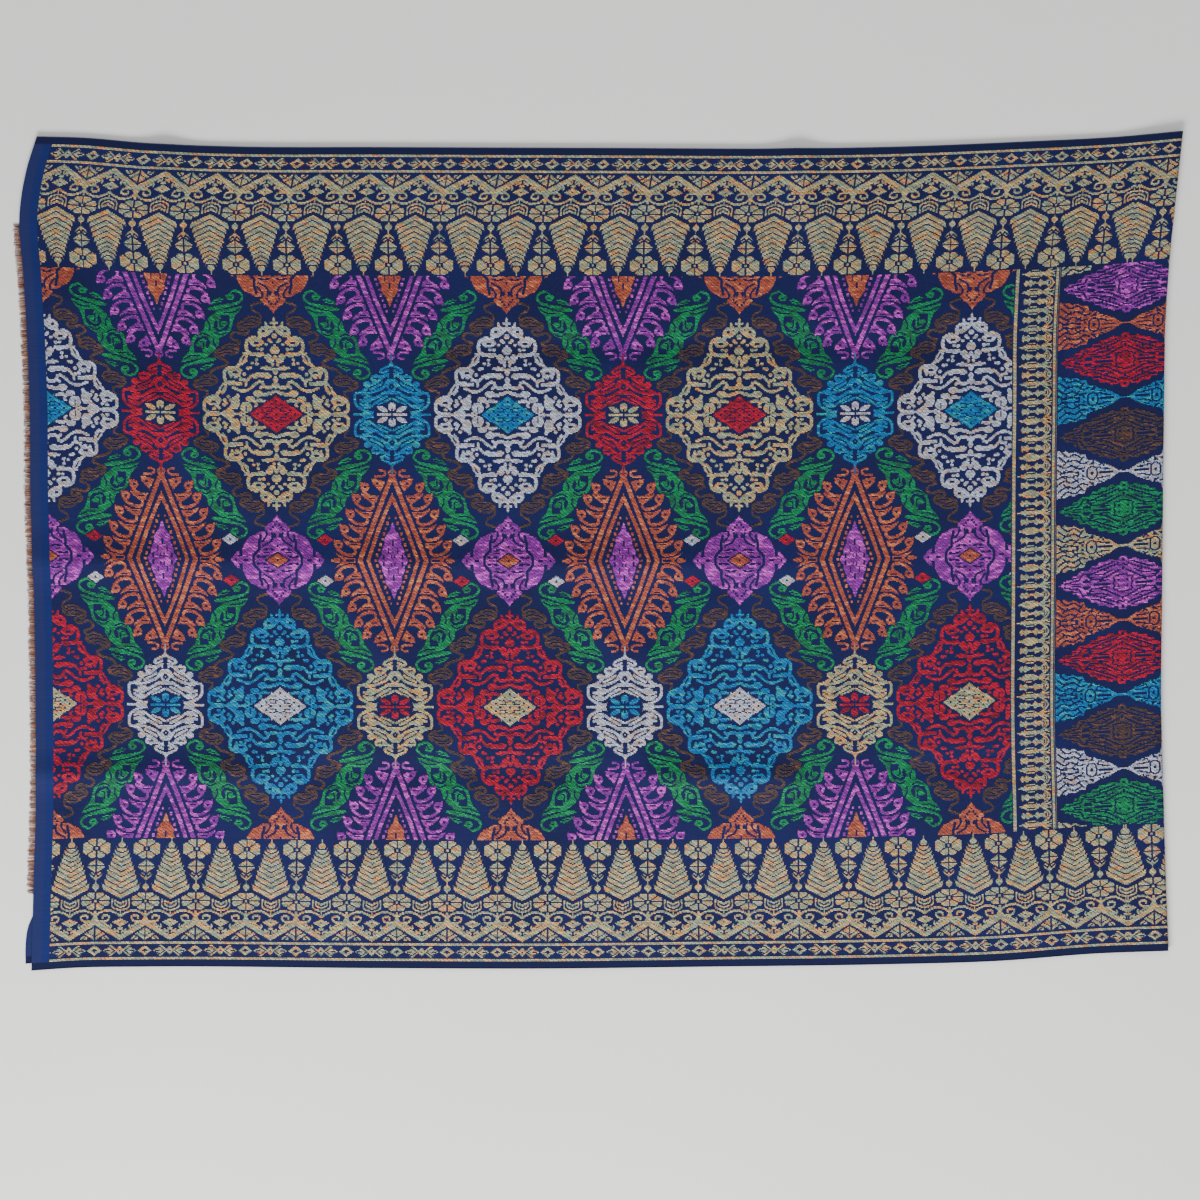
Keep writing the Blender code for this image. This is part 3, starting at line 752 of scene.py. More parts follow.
SPINDLE_SHAPE = (
    ("patch", (106.6, 0), (101, 1.6), (96, 4.1), (90, 4.1), (86, 2.2), (83, 1.2), (80.5, 2.2),
     (74, 3.2), (72.6, 5), (72.6, 0)),
    bare(0.8, (97, 2.4), (89, 2.4)),
    bare(0.9, (77.5, 0), (72.6, 1.4)),
    ("brush", 2, 2.2, (83, 0.6), (79, 3.4), (75.6, 6.2), (73.8, 9.6)),
    line(1.5, (79.4, 5.6), (77.4, 7.4), (76.8, 9.6)),
)  # fmt: skip
BUD_SHAPE = (
    ("patch", (103.4, 0), (102, 3.4), (99, 2), (96.6, 3.9), (94.6, 1.6), (91, 1), (89.4, 1.2),
     (87, 4.1), (85, 2.2), (81.6, 1.8), (79.8, 3.4), (78.4, 0)),
)  # fmt: skip


def panel_codes(along, y_rows):
    """Codes of the head panel: along is the distance from its middle line, in mm, y_rows from the middle row.

    Diamonds and the hourglasses between them, then gold lines, scalloped arcs with spindles, and a line.
    """
    x, y = np.meshgrid(along / PIXEL, y_rows)
    code = np.zeros(x.shape, np.int8)
    place = (PANEL_FIRST - y) / PANEL_PITCH
    number = np.round(place).astype(int)
    from_diamond = np.abs(place - number) * PANEL_PITCH / PIXEL
    between = np.floor(place).astype(int)
    from_hourglass = np.abs(place - between - 0.5) * PANEL_PITCH / PIXEL
    in_panel = x < PANEL_HALF
    glasses = filled(x, from_hourglass, HOURGLASS_SHAPE) & in_panel
    diamonds = filled(x, from_diamond, DIAMOND_SHAPE) & in_panel
    code = np.where(glasses, GLASS_YARNS[between % len(GLASS_YARNS)], code)
    code = np.where(diamonds, DIAMOND_YARNS[number % len(DIAMOND_YARNS)], code)
    for start, end in PANEL_LINES:
        code = np.where((x >= start) & (x < end), GOLD, code)
    step = y / SPINDLE_PITCH
    from_spindle = np.abs(step - np.round(step)) * SPINDLE_PITCH / PIXEL
    from_bud = SPINDLE_PITCH / PIXEL / 2 - from_spindle
    trim = filled(x, from_spindle, SPINDLE_SHAPE) | filled(x, from_bud, BUD_SHAPE)
    in_trim = (x > TRIM_SPAN[0]) & (x < TRIM_SPAN[1])
    return np.where(trim & in_trim, GOLD, code).astype(np.int8)


def field_yarns(code, x, y):
    """Yarn of each field cell, from its code and which repeat it lies in."""
    leaf = np.round((x - LEAF_START) / FIELD_PERIOD).astype(int)
    scroll = np.round((x - SCROLL_START) / FIELD_PERIOD).astype(int)
    leaf_odd, scroll_odd = leaf % 2 == 1, scroll % 2 == 1
    middle = np.abs(y) < FIELD_ROW / 2
    upper = y > 0
    beside = x - SCROLL_START - FIELD_PERIOD * scroll
    copper_middle = np.where(middle, COPPER, PURPLE)
    purple_middle = np.where(middle, PURPLE, COPPER)

    def in_turn(odd, above, below):
        """Yarns above and below the middle row, each the one of odd repeats and the one of even ones."""
        return np.where(upper, np.where(odd, *above), np.where(odd, *below))

    yarns = {
        LEAF_BODY: copper_middle,
        LEAF_HEART: purple_middle,
        POSY_BODY: purple_middle,
        POSY_HEART: copper_middle,
        ROSETTE_BODY: in_turn(leaf_odd, (CYAN, RED), (GOLD, SILVER)),
        ROSETTE_STAR: in_turn(leaf_odd, (SILVER, GOLD), (RED, CYAN)),
        SCROLL_BODY: in_turn(scroll_odd, (GOLD, SILVER), (CYAN, RED)),
        SCROLL_HEART: in_turn(scroll_odd, (RED, CYAN), (SILVER, GOLD)),
        FERN: GREEN,
        VINE: BROWN,
        SPARK: np.where(middle, np.where((beside < 0) == upper, SILVER, RED), GROUND),
    }
    result = np.zeros(code.shape, np.int8)
    for number, yarn in yarns.items():
        result = np.where(code == number, yarn, result)
    return result


def mirrored(distance, period):
    """Distance to the nearest multiple of the period."""
    return np.abs((distance + period / 2) % period - period / 2)


def chart(columns):
    """Yarn numbers of the whole width of the cloth: rows from the lower selvedge up, one column per s.

    Beyond the head panel's middle line the pattern repeats in mirror image.
    """
    s = np.where(columns > PANEL_MIDDLE, 2 * PANEL_MIDDLE - columns, columns)
    x = s - BROCADE_START
    y = (np.arange(ROWS) - MIDDLE_ROW) * CELL[1]
    field = field_repeat()
    field_y = y + FIELD_DROP
    column = np.clip((mirrored(x - LEAF_START, FIELD_PERIOD) / CELL[0]).astype(int), 0, REPEAT[0] - 1)
    row = np.clip((mirrored(field_y, FIELD_ROW) / CELL[1]).astype(int), 0, REPEAT[1] - 1)
    yarns = field_yarns(field[np.ix_(row, column)], x[None, :], field_y[:, None])

    along = np.abs(PANEL_MIDDLE - s)
    in_panel = along < PANEL_EDGE * PIXEL
    yarns[:, in_panel] = panel_codes(along[in_panel], y)

    border = border_repeat()
    from_edge = (CLOTH_WIDTH / 2 - np.abs(y)) / CELL[1]
    for side, start in BORDER_START.items():
        there = (y > 0) == (side == "upper")
        rows = np.flatnonzero(there & (from_edge * CELL[1] < BORDER_DEPTH))
        column = (mirrored(x - start, BORDER_PERIOD) / CELL[0]).astype(int)
        column = np.clip(column, 0, BORDER_CELLS[0] - 1)
        yarns[rows] = border[np.ix_(from_edge[rows].astype(int), column)]
    return yarns


def runs_of(yarns):
    """Row, first column, length and yarn of each run. Long runs are cut, with the cuts stepped by row."""
    rows, columns = yarns.shape
    place = np.arange(columns)[None, :] + CUT_STEP * (np.arange(rows)[:, None] % CUT_REPEAT)
    cut = place % FLOAT_LONGEST == 0
    change = np.ones(yarns.shape, bool)
    change[:, 1:] = (yarns[:, 1:] != yarns[:, :-1]) | cut[:, 1:]
    starts = np.flatnonzero(change.ravel())
    lengths = np.diff(np.append(starts, yarns.size))
    yarn = yarns.ravel()[starts]
    used = yarn != GROUND
    starts, lengths, yarn = starts[used], lengths[used], yarn[used]
    return starts // columns, starts % columns, lengths, yarn


def linear(colour):
    """A linear colour from sRGB numbers of 0 to 255."""
    share = np.asarray(colour, float) / 255
    return np.where(share <= 0.04045, share / 12.92, ((share + 0.055) / 1.055) ** 2.4)


def tone_map(seed, s, y):
    """A smooth noise from 0 to 1: random values at patch corners, blended between them."""
    chance = np.random.default_rng(seed)
    wide = int(CLOTH_LENGTH / PATCH_SIZE[0]) + SPARE_CORNERS
    high = int(CLOTH_WIDTH / PATCH_SIZE[1]) + SPARE_CORNERS
    corner = chance.random((high, wide))
    across, along = y / PATCH_SIZE[1], s / PATCH_SIZE[0]
    j, i = across.astype(int), along.astype(int)
    u, w = ease(along - i), ease(across - j)
    here = mixed(corner[j, i], corner[j, i + 1], u)
    above = mixed(corner[j + 1, i], corner[j + 1, i + 1], u)
    return mixed(here, above, w)


def patches(seed, s, y, middle, softness):
    """A mask of soft patches: 0 where the noise lies under its middle and 1 where it lies over it."""
    return ease((tone_map(seed, s, y) - middle) / softness + 0.5)[:, None]


def yarn_colours(yarn, s, row):
    """Linear colour of each float: its yarn's main colour, turning to the other one in patches."""
    y = row * CELL[1]
    colours = np.zeros((len(yarn), 3))
    for number, (main, other, share) in YARNS.items():
        mine = yarn == number
        # Patches of the other colour: partly uneven yarn colour, partly painted sheen.
        turned = patches(number, s[mine], y[mine], 1 - share, TURN_SOFTNESS)
        colours[mine] = mixed(linear(main), linear(other), turned)
    gold = yarn == GOLD
    mint = patches(MINT_SEED, s[gold], y[gold], 0.5, MINT_SOFTNESS) * MINT_MOST
    colours[gold] = mixed(colours[gold], linear(MINT_GREY), mint)
    shade = SHADE_LEAST + SHADE_SPREAD * np.random.default_rng(SHADE_SEED).random(len(yarn))
    return colours * shade[:, None]


def mesh_object(name, points, corners, material, smooth_shading=True):
    """A mesh from an array of points and an array of faces, each row one face."""
    sides = corners.shape[1]
    mesh = bpy.data.meshes.new(name)
    mesh.vertices.add(len(points))
    mesh.vertices.foreach_set("co", np.ascontiguousarray(points, np.float32).ravel())
    mesh.loops.add(corners.size)
    mesh.loops.foreach_set("vertex_index", corners.astype(np.int32).ravel())
    mesh.polygons.add(len(corners))
    mesh.polygons.foreach_set("loop_start", np.arange(len(corners), dtype=np.int32) * sides)
    mesh.update(calc_edges=True)
    mesh.validate()
    if smooth_shading:
        mesh.shade_smooth()
    mesh.materials.append(material)
    piece = bpy.data.objects.new(name, mesh)
    bpy.context.scene.collection.objects.link(piece)
    return piece


def add_uv(piece, name, u, v):
    """A UV map from one value of u and v for each point."""
    mesh = piece.data
    layer = mesh.uv_layers.new(name=name)
    index = np.empty(len(mesh.loops), np.int32)
    mesh.loops.foreach_get("vertex_index", index)
    layer.data.foreach_set("uv", np.column_stack([u[index], v[index]]).astype(np.float32).ravel())


def add_colours(piece, colours):
    """A colour attribute named yarn, one colour for each point."""
    layer = piece.data.color_attributes.new("yarn", "FLOAT_COLOR", "POINT")
    rgba = np.column_stack([colours, np.ones(len(colours))])
    layer.data.foreach_set("color", rgba.astype(np.float32).ravel())


def floats(name, start, end, v, width, heights, colours, material):
    """Raised floats, each a strip of two faces along s: its ends lie low and its middle stands high.

    A float runs from s = start to s = end, at share v across, and is width mm broad.
    """
    start, end = start + FLOAT_INSET, end - FLOAT_INSET
    s = np.stack([start, (start + end) / 2, end] * 2, -1)
    across = v[:, None] + np.repeat([-1, 1], 3) * width / 2 / CLOTH_WIDTH
    low, high = heights
    share = np.clip((end - start) / (FLOAT_LONGEST * CELL[0]), LEAST_CROWN, 1.0)
    crown = low + (high - low) * share
    foot = np.full_like(crown, low)
    lift = np.stack([foot, crown, foot] * 2, -1)
    base = np.arange(len(start))[:, None] * 6
    corners = np.concatenate([base + [0, 1, 4, 3], base + [1, 2, 5, 4]], 1).reshape(-1, 4)
    piece = mesh_object(name, on_cloth(s.ravel(), across.ravel(), lift.ravel()), corners, material)
    add_uv(piece, "OFBake", s.ravel() / CLOTH_LENGTH, across.ravel())
    add_uv(piece, "Float", (s - start[:, None]).ravel(), np.tile(np.repeat([0.0, 1.0], 3), len(start)))
    add_colours(piece, np.repeat(colours, 6, 0))
    return piece


def brocade_runs(first_place, last_place, cell, row_step):
    """Row, start, end, yarn and colour of every float between two places along the cloth."""
    columns = np.arange(first_place, last_place, cell) + cell / 2
    row, first, length, yarn = runs_of(chart(columns)[::row_step])
    row = row * row_step
    start = columns[0] - cell / 2 + first * cell
    return row, start, start + length * cell, yarn, yarn_colours(yarn, start, row)


# Pieces of the front's brocade: name, yarn and the part of the cloth that they cover.
BROCADE = (
    ("lower_border_brocade", GOLD, "lower"),
    ("upper_border_brocade", GOLD, "upper"),
    ("gold_brocade", GOLD, "field"),
    ("silver_brocade", SILVER, "field"),
    ("copper_brocade", COPPER, "field"),
    ("purple_brocade", PURPLE, "field"),
    ("red_brocade", RED, "field"),
    ("cyan_brocade", CYAN, "field"),
    ("fern_brocade", GREEN, "field"),
    ("vine_brocade", BROWN, "field"),
)
BEND_MIDDLE = UPPER_RUN + BEND_RUN / 2


def front_brocade(materials):
    """The floats of the front layer and the bend, one piece for each yarn and part of the cloth."""
    row, start, end, yarn, colours = brocade_runs(BROCADE_START, BEND_MIDDLE, CELL[0], 1)
    v = (row + 0.5) / ROWS
    from_edge = CLOTH_WIDTH / 2 - np.abs(row - MIDDLE_ROW) * CELL[1]
    region = np.where(from_edge >= BORDER_DEPTH, "field", np.where(row > MIDDLE_ROW, "upper", "lower"))
    pieces = []
    for name, number, part in BROCADE:
        mine = (yarn == number) & (region == part)
        places = start[mine], end[mine], v[mine]
        material = materials["bright" if number in (GOLD, SILVER, COPPER) else "soft"]
        pieces.append(floats(name, *places, FLOAT_WIDTH, FLOAT_HEIGHTS, colours[mine], material))
    return pieces


BACK_CELL = 2.1  # mm along the cloth, on the hidden back
BACK_ROW_STEP = 2  # rows taken together there
BACK_FILL = 0.96  # share of those rows that a float fills
BACK_HEIGHTS = (0.10, 0.34)


def back_brocade(materials):
    """The floats of the back layer in two pieces, coarser, since it lies face down."""
    last = CLOTH_LENGTH - BROCADE_START
    row, start, end, _, colours = brocade_runs(BEND_MIDDLE, last, BACK_CELL, BACK_ROW_STEP)
    v = (row + BACK_ROW_STEP / 2) / ROWS
    width = BACK_ROW_STEP * CELL[1] * BACK_FILL
    by_fold = start < (UPPER_RUN + CLOTH_LENGTH) / 2
    pieces = []
    for name, mine in (("back_brocade_by_fold", by_fold), ("back_brocade_by_end", ~by_fold)):
        places = start[mine], end[mine], v[mine]
        pieces.append(floats(name, *places, width, BACK_HEIGHTS, colours[mine], materials["soft"]))
    return pieces


GROUND_STEP = 4.0  # mm along the front layer
BACK_STEP = 10.0
BEND_STEPS = 10
GROUND_ROWS = 176


def places_along(front_count, back_count):
    """Places along the cloth: so many on the front layer, the bend's, and so many on the back layer."""
    front = np.linspace(0, UPPER_RUN, front_count)
    bend = UPPER_RUN + BEND_RUN * np.linspace(0, 1, BEND_STEPS + 1)[1:]
    back = np.linspace(bend[-1], CLOTH_LENGTH, back_count)[1:]
    return np.concatenate([front, bend, back])


def ground_cloth(material):
    """The plain weave sheet: a grid of (s, v) on the middle surface, from one cut end to the other."""
    stations = places_along(int(UPPER_RUN / GROUND_STEP) + 1, int(UPPER_RUN / BACK_STEP) + 1)
    s, v = (grid.ravel() for grid in np.meshgrid(stations, np.linspace(0, 1, GROUND_ROWS + 1)))
    wide = len(stations)
    corner = (np.arange(GROUND_ROWS)[:, None] * wide + np.arange(wide - 1)).reshape(-1, 1)
    piece = mesh_object("ground_cloth", lying(s, v) * MM, corner + [0, 1, wide + 1, wide], material)
    add_uv(piece, "OFBake", s / CLOTH_LENGTH, v)
    return piece


SELVEDGE_RADIUS = 0.42
SELVEDGE_SIDES = 6
SELVEDGE_COUNTS = (220, 120)  # rings on the front layer and on the back one
TURN_IN_UV = 7  # a little over a turn in radians, so that its map stays under 1


def selvedge(name, v, material):
    """The firm edge of the cloth: a round cord of fixed radius along the line v, from end to end."""
    stations = places_along(*SELVEDGE_COUNTS)
    edge = lying(stations, np.full_like(stations, v))
    along = unit(np.gradient(edge, axis=0))
    outward = np.array([0.0, 1.0 if v > 0.5 else -1.0, 0.0])
    up = unit(np.cross(along, outward))
    angle = np.linspace(0, 2 * np.pi, SELVEDGE_SIDES, endpoint=False)[None, :, None]
    ring = edge[:, None] + SELVEDGE_RADIUS * (np.cos(angle) * outward + np.sin(angle) * up[:, None])
    corners = tube_faces(len(stations), SELVEDGE_SIDES, flip=v < 0.5)
    piece = mesh_object(name, ring.reshape(-1, 3) * MM, corners, material)
    around = np.tile(angle.ravel() / TURN_IN_UV, len(stations))
    add_uv(piece, "OFBake", np.repeat(stations / CLOTH_LENGTH, SELVEDGE_SIDES), around)
    return piece


def tube_faces(rings, sides, flip=False):
    """Faces between neighbouring rings of points."""
    ring = np.arange(rings - 1)[:, None, None] * sides
    side = np.arange(sides)[None, :, None]
    after = (side + 1) % sides
    faces = np.concatenate([ring + side, ring + after, ring + sides + after, ring + sides + side], 2)
    faces = faces.reshape(-1, 4)
    return faces[:, ::-1] if flip else faces


# Cut weft ends, in mm.
FRINGE_SPAN = (0.085, 0.895)  # shares of the cloth's width
FRINGE_STRANDS = 640
FRINGE_STRAY = 0.3  # along the cut end
FRINGE_ROOT = 0.5  # from the cut end into the cloth
FRINGE_TUCKED = (2.5, 9.0)  # least and most that the front layer may hide
FRINGE_SHOWS = (4.4, 6.8)  # beyond the front layer's cut end
FRINGE_LEAN = 0.9
FRINGE_LIFT = (-0.15, 0.5)
FRINGE_RADIUS = 0.56
FRINGE_STOUTNESS = (0.75, 1.2)  # shares of that radius
FRINGE_TAPER = 0.45
FRINGE_LOWEST = 0.03  # over the surface that the cloth lies on
FRINGE_RINGS = 5
FRINGE_SIDES = 4
FRINGE_SEED = 11
FRINGE_COLOURS = ((138, 74, 40), (186, 116, 70), (50, 30, 26))  # brown, pale and dark
FRINGE_DARK = 0.55  # share of the strands with a dark root
FRINGE_BROWN = 0.75  # share of the strands with a brown tip, the others' being pale
FRINGE_PLY_MAP = 5  # length of a strand in its Float map


def strand_faces():
    """Faces of one strand: a tube with four sides and a cap on its tip."""
    last = (FRINGE_RINGS - 1) * FRINGE_SIDES
    sides = tube_faces(FRINGE_RINGS, FRINGE_SIDES)
    return np.vstack([sides, [[last + 1, last + 2, last + 3, last]]])


def weft_ends(material):
    """The loose yarn ends at the back layer's cut end: thin tapered tubes, each with its own lean and sag."""
    chance = np.random.default_rng(FRINGE_SEED)
    count = FRINGE_STRANDS
    v = np.linspace(*FRINGE_SPAN, count) + chance.uniform(-FRINGE_STRAY, FRINGE_STRAY, count) / CLOTH_WIDTH
    root = lying(np.full(count, CLOTH_LENGTH), v)
    root[:, 0] += FRINGE_ROOT
    tucked = np.clip(root[:, 0] - lying(np.zeros(count), v)[:, 0], *FRINGE_TUCKED)
    length = tucked + chance.uniform(*FRINGE_SHOWS, count)
    lean = chance.normal(0, FRINGE_LEAN, count)
    lift = chance.uniform(*FRINGE_LIFT, count)
    stoutness = chance.uniform(*FRINGE_STOUTNESS, count)
    mix = chance.random(count)[:, None]

    t = np.linspace(0, 1, FRINGE_RINGS)
    x = root[:, :1] - (length[:, None] + FRINGE_ROOT) * t
    y = root[:, 1:2] + lean[:, None] * t**2
    z = root[:, 2:] + lift[:, None] * np.sin(np.pi * t)
    radius = (FRINGE_RADIUS * stoutness[:, None] * (1 - FRINGE_TAPER * t))[..., None]
    angle = np.array([0.25, 0.75, 1.25, 1.75]) * np.pi
    ring_y = y[..., None] + radius * np.cos(angle)
    ring_z = np.maximum(z[..., None] + radius * np.sin(angle), FRINGE_LOWEST)
    ring_x = np.broadcast_to(x[..., None], ring_y.shape)
    points = np.stack([ring_x, ring_y, ring_z], -1).reshape(-1, 3) * MM
    first = np.arange(count)[:, None, None] * FRINGE_RINGS * FRINGE_SIDES
    piece = mesh_object("weft_ends", points, (first + strand_faces()).reshape(-1, 4), material)

    brown, pale, dark = (linear(colour) for colour in FRINGE_COLOURS)
    base = np.where(mix < FRINGE_DARK, dark, brown)[:, None, None]
    tip = np.where(mix > FRINGE_BROWN, pale, brown)[:, None, None]
    colours = mixed(base, tip, (t**2)[None, :, None, None])
    add_colours(piece, np.broadcast_to(colours, (*ring_y.shape, 3)).reshape(-1, 3))
    along = np.broadcast_to(t[None, :, None], ring_y.shape).ravel()
    add_uv(piece, "OFBake", along, np.broadcast_to(v[:, None, None], ring_y.shape).ravel())
    add_uv(piece, "Float", along * FRINGE_PLY_MAP, np.tile([0.2, 0.8, 0.8, 0.2], count * FRINGE_RINGS))
    return piece


def node(tree, kind, **settings):
    """A new node with these settings."""
    made = tree.nodes.new(kind)
    for name, value in settings.items():
        setattr(made, name, value)
    return made


def feed(tree, socket, value):
    """Links a socket to value, or sets it where value is a constant."""
    if isinstance(value, bpy.types.NodeSocket):
        tree.links.new(value, socket)
    else:
        socket.default_value = value


def maths(tree, operation, *values):
    """The result of one maths node."""
    made = node(tree, "ShaderNodeMath", operation=operation)
    for socket, value in zip(made.inputs, values):
        feed(tree, socket, value)
    return made.outputs[0]


def scaled(tree, value, factor, plus=None):
    """Value times factor, with something added where plus is given."""
    product = maths(tree, "MULTIPLY", value, factor)
    return product if plus is None else maths(tree, "ADD", product, plus)


def blended(tree, factor, first, second, how="MIX"):
    """Two colours mixed by a factor."""
    made = node(tree, "ShaderNodeMix", data_type="RGBA", blend_type=how)
    feed(tree, made.inputs["Factor"], factor)
    feed(tree, made.inputs[6], first)
    feed(tree, made.inputs[7], second)
    return made.outputs[2]


def shaded(tree, colour, shade):
    """A colour multiplied by a shade."""
    grey = node(tree, "ShaderNodeCombineColor")
    for channel in grey.inputs:
        feed(tree, channel, shade)
    return blended(tree, 1.0, colour, grey.outputs[0], "MULTIPLY")


def step_up(tree, value, low, high):
    """0 where value is under low, 1 where it is over high, and a smooth step between them."""
    made = node(tree, "ShaderNodeMapRange", interpolation_type="SMOOTHSTEP")
    feed(tree, made.inputs["Value"], value)
    made.inputs["From Min"].default_value = low
    made.inputs["From Max"].default_value = high
    return made.outputs["Result"]


def rgba(colour):
    """A linear colour with full alpha, for a socket."""
    return (*linear(colour), 1.0)


def noise(tree, scale, detail=2.0, roughness=0.5, place=None):
    """A noise mask, on Object coordinates where no place is given."""
    if place is None:
        place = node(tree, "ShaderNodeTexCoord").outputs["Object"]
    made = node(tree, "ShaderNodeTexNoise")
    feed(tree, made.inputs["Vector"], place)
    made.inputs["Scale"].default_value = scale
    made.inputs["Detail"].default_value = detail
    made.inputs["Roughness"].default_value = roughness
    return made.outputs["Fac"]


def uv_parts(tree, uv_map):
    """Both values of a UV map."""
    parts = node(tree, "ShaderNodeSeparateXYZ")
    feed(tree, parts.inputs[0], node(tree, "ShaderNodeUVMap", uv_map=uv_map).outputs["UV"])
    return parts.outputs["X"], parts.outputs["Y"]


def cloth_place(tree):
    """Distance from the front cut end and from the lower selvedge, in mm."""
    along, across = uv_parts(tree, "OFBake")
    return scaled(tree, along, CLOTH_LENGTH), scaled(tree, across, CLOTH_WIDTH)


def relief_group(name, first_input):
    """A node group that takes one value and a strength, and puts out a shade and a normal."""
    group = bpy.data.node_groups.new(name, "ShaderNodeTree")
    for label in (first_input, "Strength"):
        group.interface.new_socket(label, in_out="INPUT", socket_type="NodeSocketFloat")
    group.interface.new_socket("Shade", in_out="OUTPUT", socket_type="NodeSocketFloat")
    group.interface.new_socket("Normal", in_out="OUTPUT", socket_type="NodeSocketVector")
    return group, group.nodes.new("NodeGroupInput").outputs


def put_out(group, strength, height, distance, shade):
    """Gives a relief group its outputs: the shade, and a normal from a height of so many metres."""
    bump = node(group, "ShaderNodeBump")
    bump.inputs["Distance"].default_value = distance
    feed(group, bump.inputs["Strength"], strength)
    feed(group, bump.inputs["Height"], height)
    out = group.nodes.new("NodeGroupOutput")
    feed(group, out.inputs["Shade"], shade)
    feed(group, out.inputs["Normal"], bump.outputs["Normal"])
    return group


def yarn_group():
    """Twisted yarn: it puts out a painted shade, darker at the float's edges, between its plies and where it
    starts, and a normal.

    The height is 1 in the middle of the float's width and falls to its sides as a power of the distance.
    Slanting sine waves along the float are its plies, and it dips where the float starts.
    """
    group, given = relief_group("Yarn twist", "Ply")
    along, across = uv_parts(group, "Float")
    centred = scaled(group, across, 2.0, -1.0)
    rounding = maths(group, "SUBTRACT", 1.0, maths(group, "POWER", maths(group, "ABSOLUTE", centred), 2.2))
    slant = scaled(group, across, 2.4, maths(group, "MULTIPLY", along, given["Ply"]))
    ply = scaled(group, maths(group, "SINE", slant), 0.5, 0.5)
    height = scaled(group, ply, 0.35, rounding)
    height = maths(group, "MULTIPLY", height, step_up(group, along, low=-0.1, high=0.8))
    # The shade is painted shade: the colour darkens as the yarn's height falls.
    return put_out(group, given["Strength"], height, 0.0004, scaled(group, height, 0.52, 0.40))


def weave_group():
    """Plain weave: warp and weft crossing over and under, as a normal and a shade that is partly painted
    shade where threads dip.

    Each thread set is a sine wave across itself, and the two take turns on top as a chequer of both. A noise
    drawn out along the cloth is the slubs in its yarn.
    """
    group, given = relief_group("Plain weave", "Pitch mm")
    along, across = cloth_place(group)
    waves = []
    for distance in (across, along):
        turns = maths(group, "DIVIDE", scaled(group, distance, np.pi), given["Pitch mm"])
        waves.append(maths(group, "SINE", turns))
    high = maths(group, "MAXIMUM", *(maths(group, "ABSOLUTE", wave) for wave in waves))
    height = scaled(group, maths(group, "MULTIPLY", *waves), 0.3, scaled(group, high, 0.7))
    streaks = node(group, "ShaderNodeCombineXYZ")
    feed(group, streaks.inputs["X"], scaled(group, along, 0.035))
    feed(group, streaks.inputs["Y"], scaled(group, across, 0.9))
    slub = noise(group, scale=1.0, detail=3.0, roughness=0.6, place=streaks.outputs[0])
    # Painted shade from the weave's height, plus the slubs' own tone.
    shade = scaled(group, slub, 0.5, scaled(group, height, 0.16, 0.62))
    return put_out(group, given["Strength"], height, 0.0003, shade)


def new_material(name):
    """A new material and its node tree."""
    made = bpy.data.materials.new(name)
    made.use_nodes = True
    return made, made.node_tree


def use_group(tree, group, **settings):
    """Outputs of a node group in a material. An underscore in a setting stands for a space."""
    made = node(tree, "ShaderNodeGroup", node_tree=group)
    for name, value in settings.items():
        made.inputs[name.replace("_", " ")].default_value = value
    return made.outputs


def finished(material, colour, normal=None, **settings):
    """Feeds the material's Principled shader and sets its constants."""
    tree = material.node_tree
    shader = tree.nodes["Principled BSDF"]
    feed(tree, shader.inputs["Base Color"], colour)
    if normal is not None:
        feed(tree, shader.inputs["Normal"], normal)
    for name, value in settings.items():
        shader.inputs[name.replace("_", " ")].default_value = value
    return material


# Name, plies as radians a mm, roughness, metal and sheen of each yarn's finish.
YARN_FINISHES = {
    "bright": ("Lustrous brocading yarn", 9.0, 0.5, 0.1, 0.0),
    "soft": ("Soft brocading yarn", 7.0, 0.65, 0.0, 0.0),
    "ends": ("Cut yarn ends", 6.0, 0.65, 0.0, 0.1),
}


def yarn_material(twist, name, ply, roughness, metal, sheen):
    """Brocading yarn: its colour comes from the yarn attribute, darkened by the twist's painted shade and a
    fine mottle.
    """
    made, tree = new_material(name)
    shape = use_group(tree, twist, Ply=ply, Strength=0.5)
    tint = node(tree, "ShaderNodeAttribute", attribute_name="yarn").outputs["Color"]
    mottled = scaled(tree, noise(tree, scale=700.0), 0.80, 0.60)
    # Painted shade of the twist, times the mottle's own tone.
    colour = shaded(tree, tint, maths(tree, "MULTIPLY", shape["Shade"], mottled))
    finish = {"Roughness": roughness, "Metallic": metal, "Sheen_Weight": sheen, "Specular_IOR_Level": 0.25}
    return finished(made, colour, shape["Normal"], **finish)


NAVY = (20, 26, 74)
NAVY_DEEP = (16, 21, 62)
NAVY_BRIGHT = (28, 37, 98)
HEM_NAVY = (15, 22, 58)
HEM_THREADS = ((10, 16, 42), (24, 34, 78))
END_BLUE = (22, 34, 90)
END_GREY = (30, 38, 84)
END_GREY_SPAN = (7.0, 12.0)  # mm from a cut end over which its grey turns blue
END_BLUE_SPAN = (BROCADE_START - 1.0, BROCADE_START + 1.0)  # and its blue turns navy
HEM_SPAN = (6.0, 7.4)  # mm from a selvedge over which the hem's navy ends


def from_sides(tree, distance, whole):
    """Distance to the nearer of two opposite sides."""
    return maths(tree, "MINIMUM", distance, maths(tree, "SUBTRACT", whole, distance))


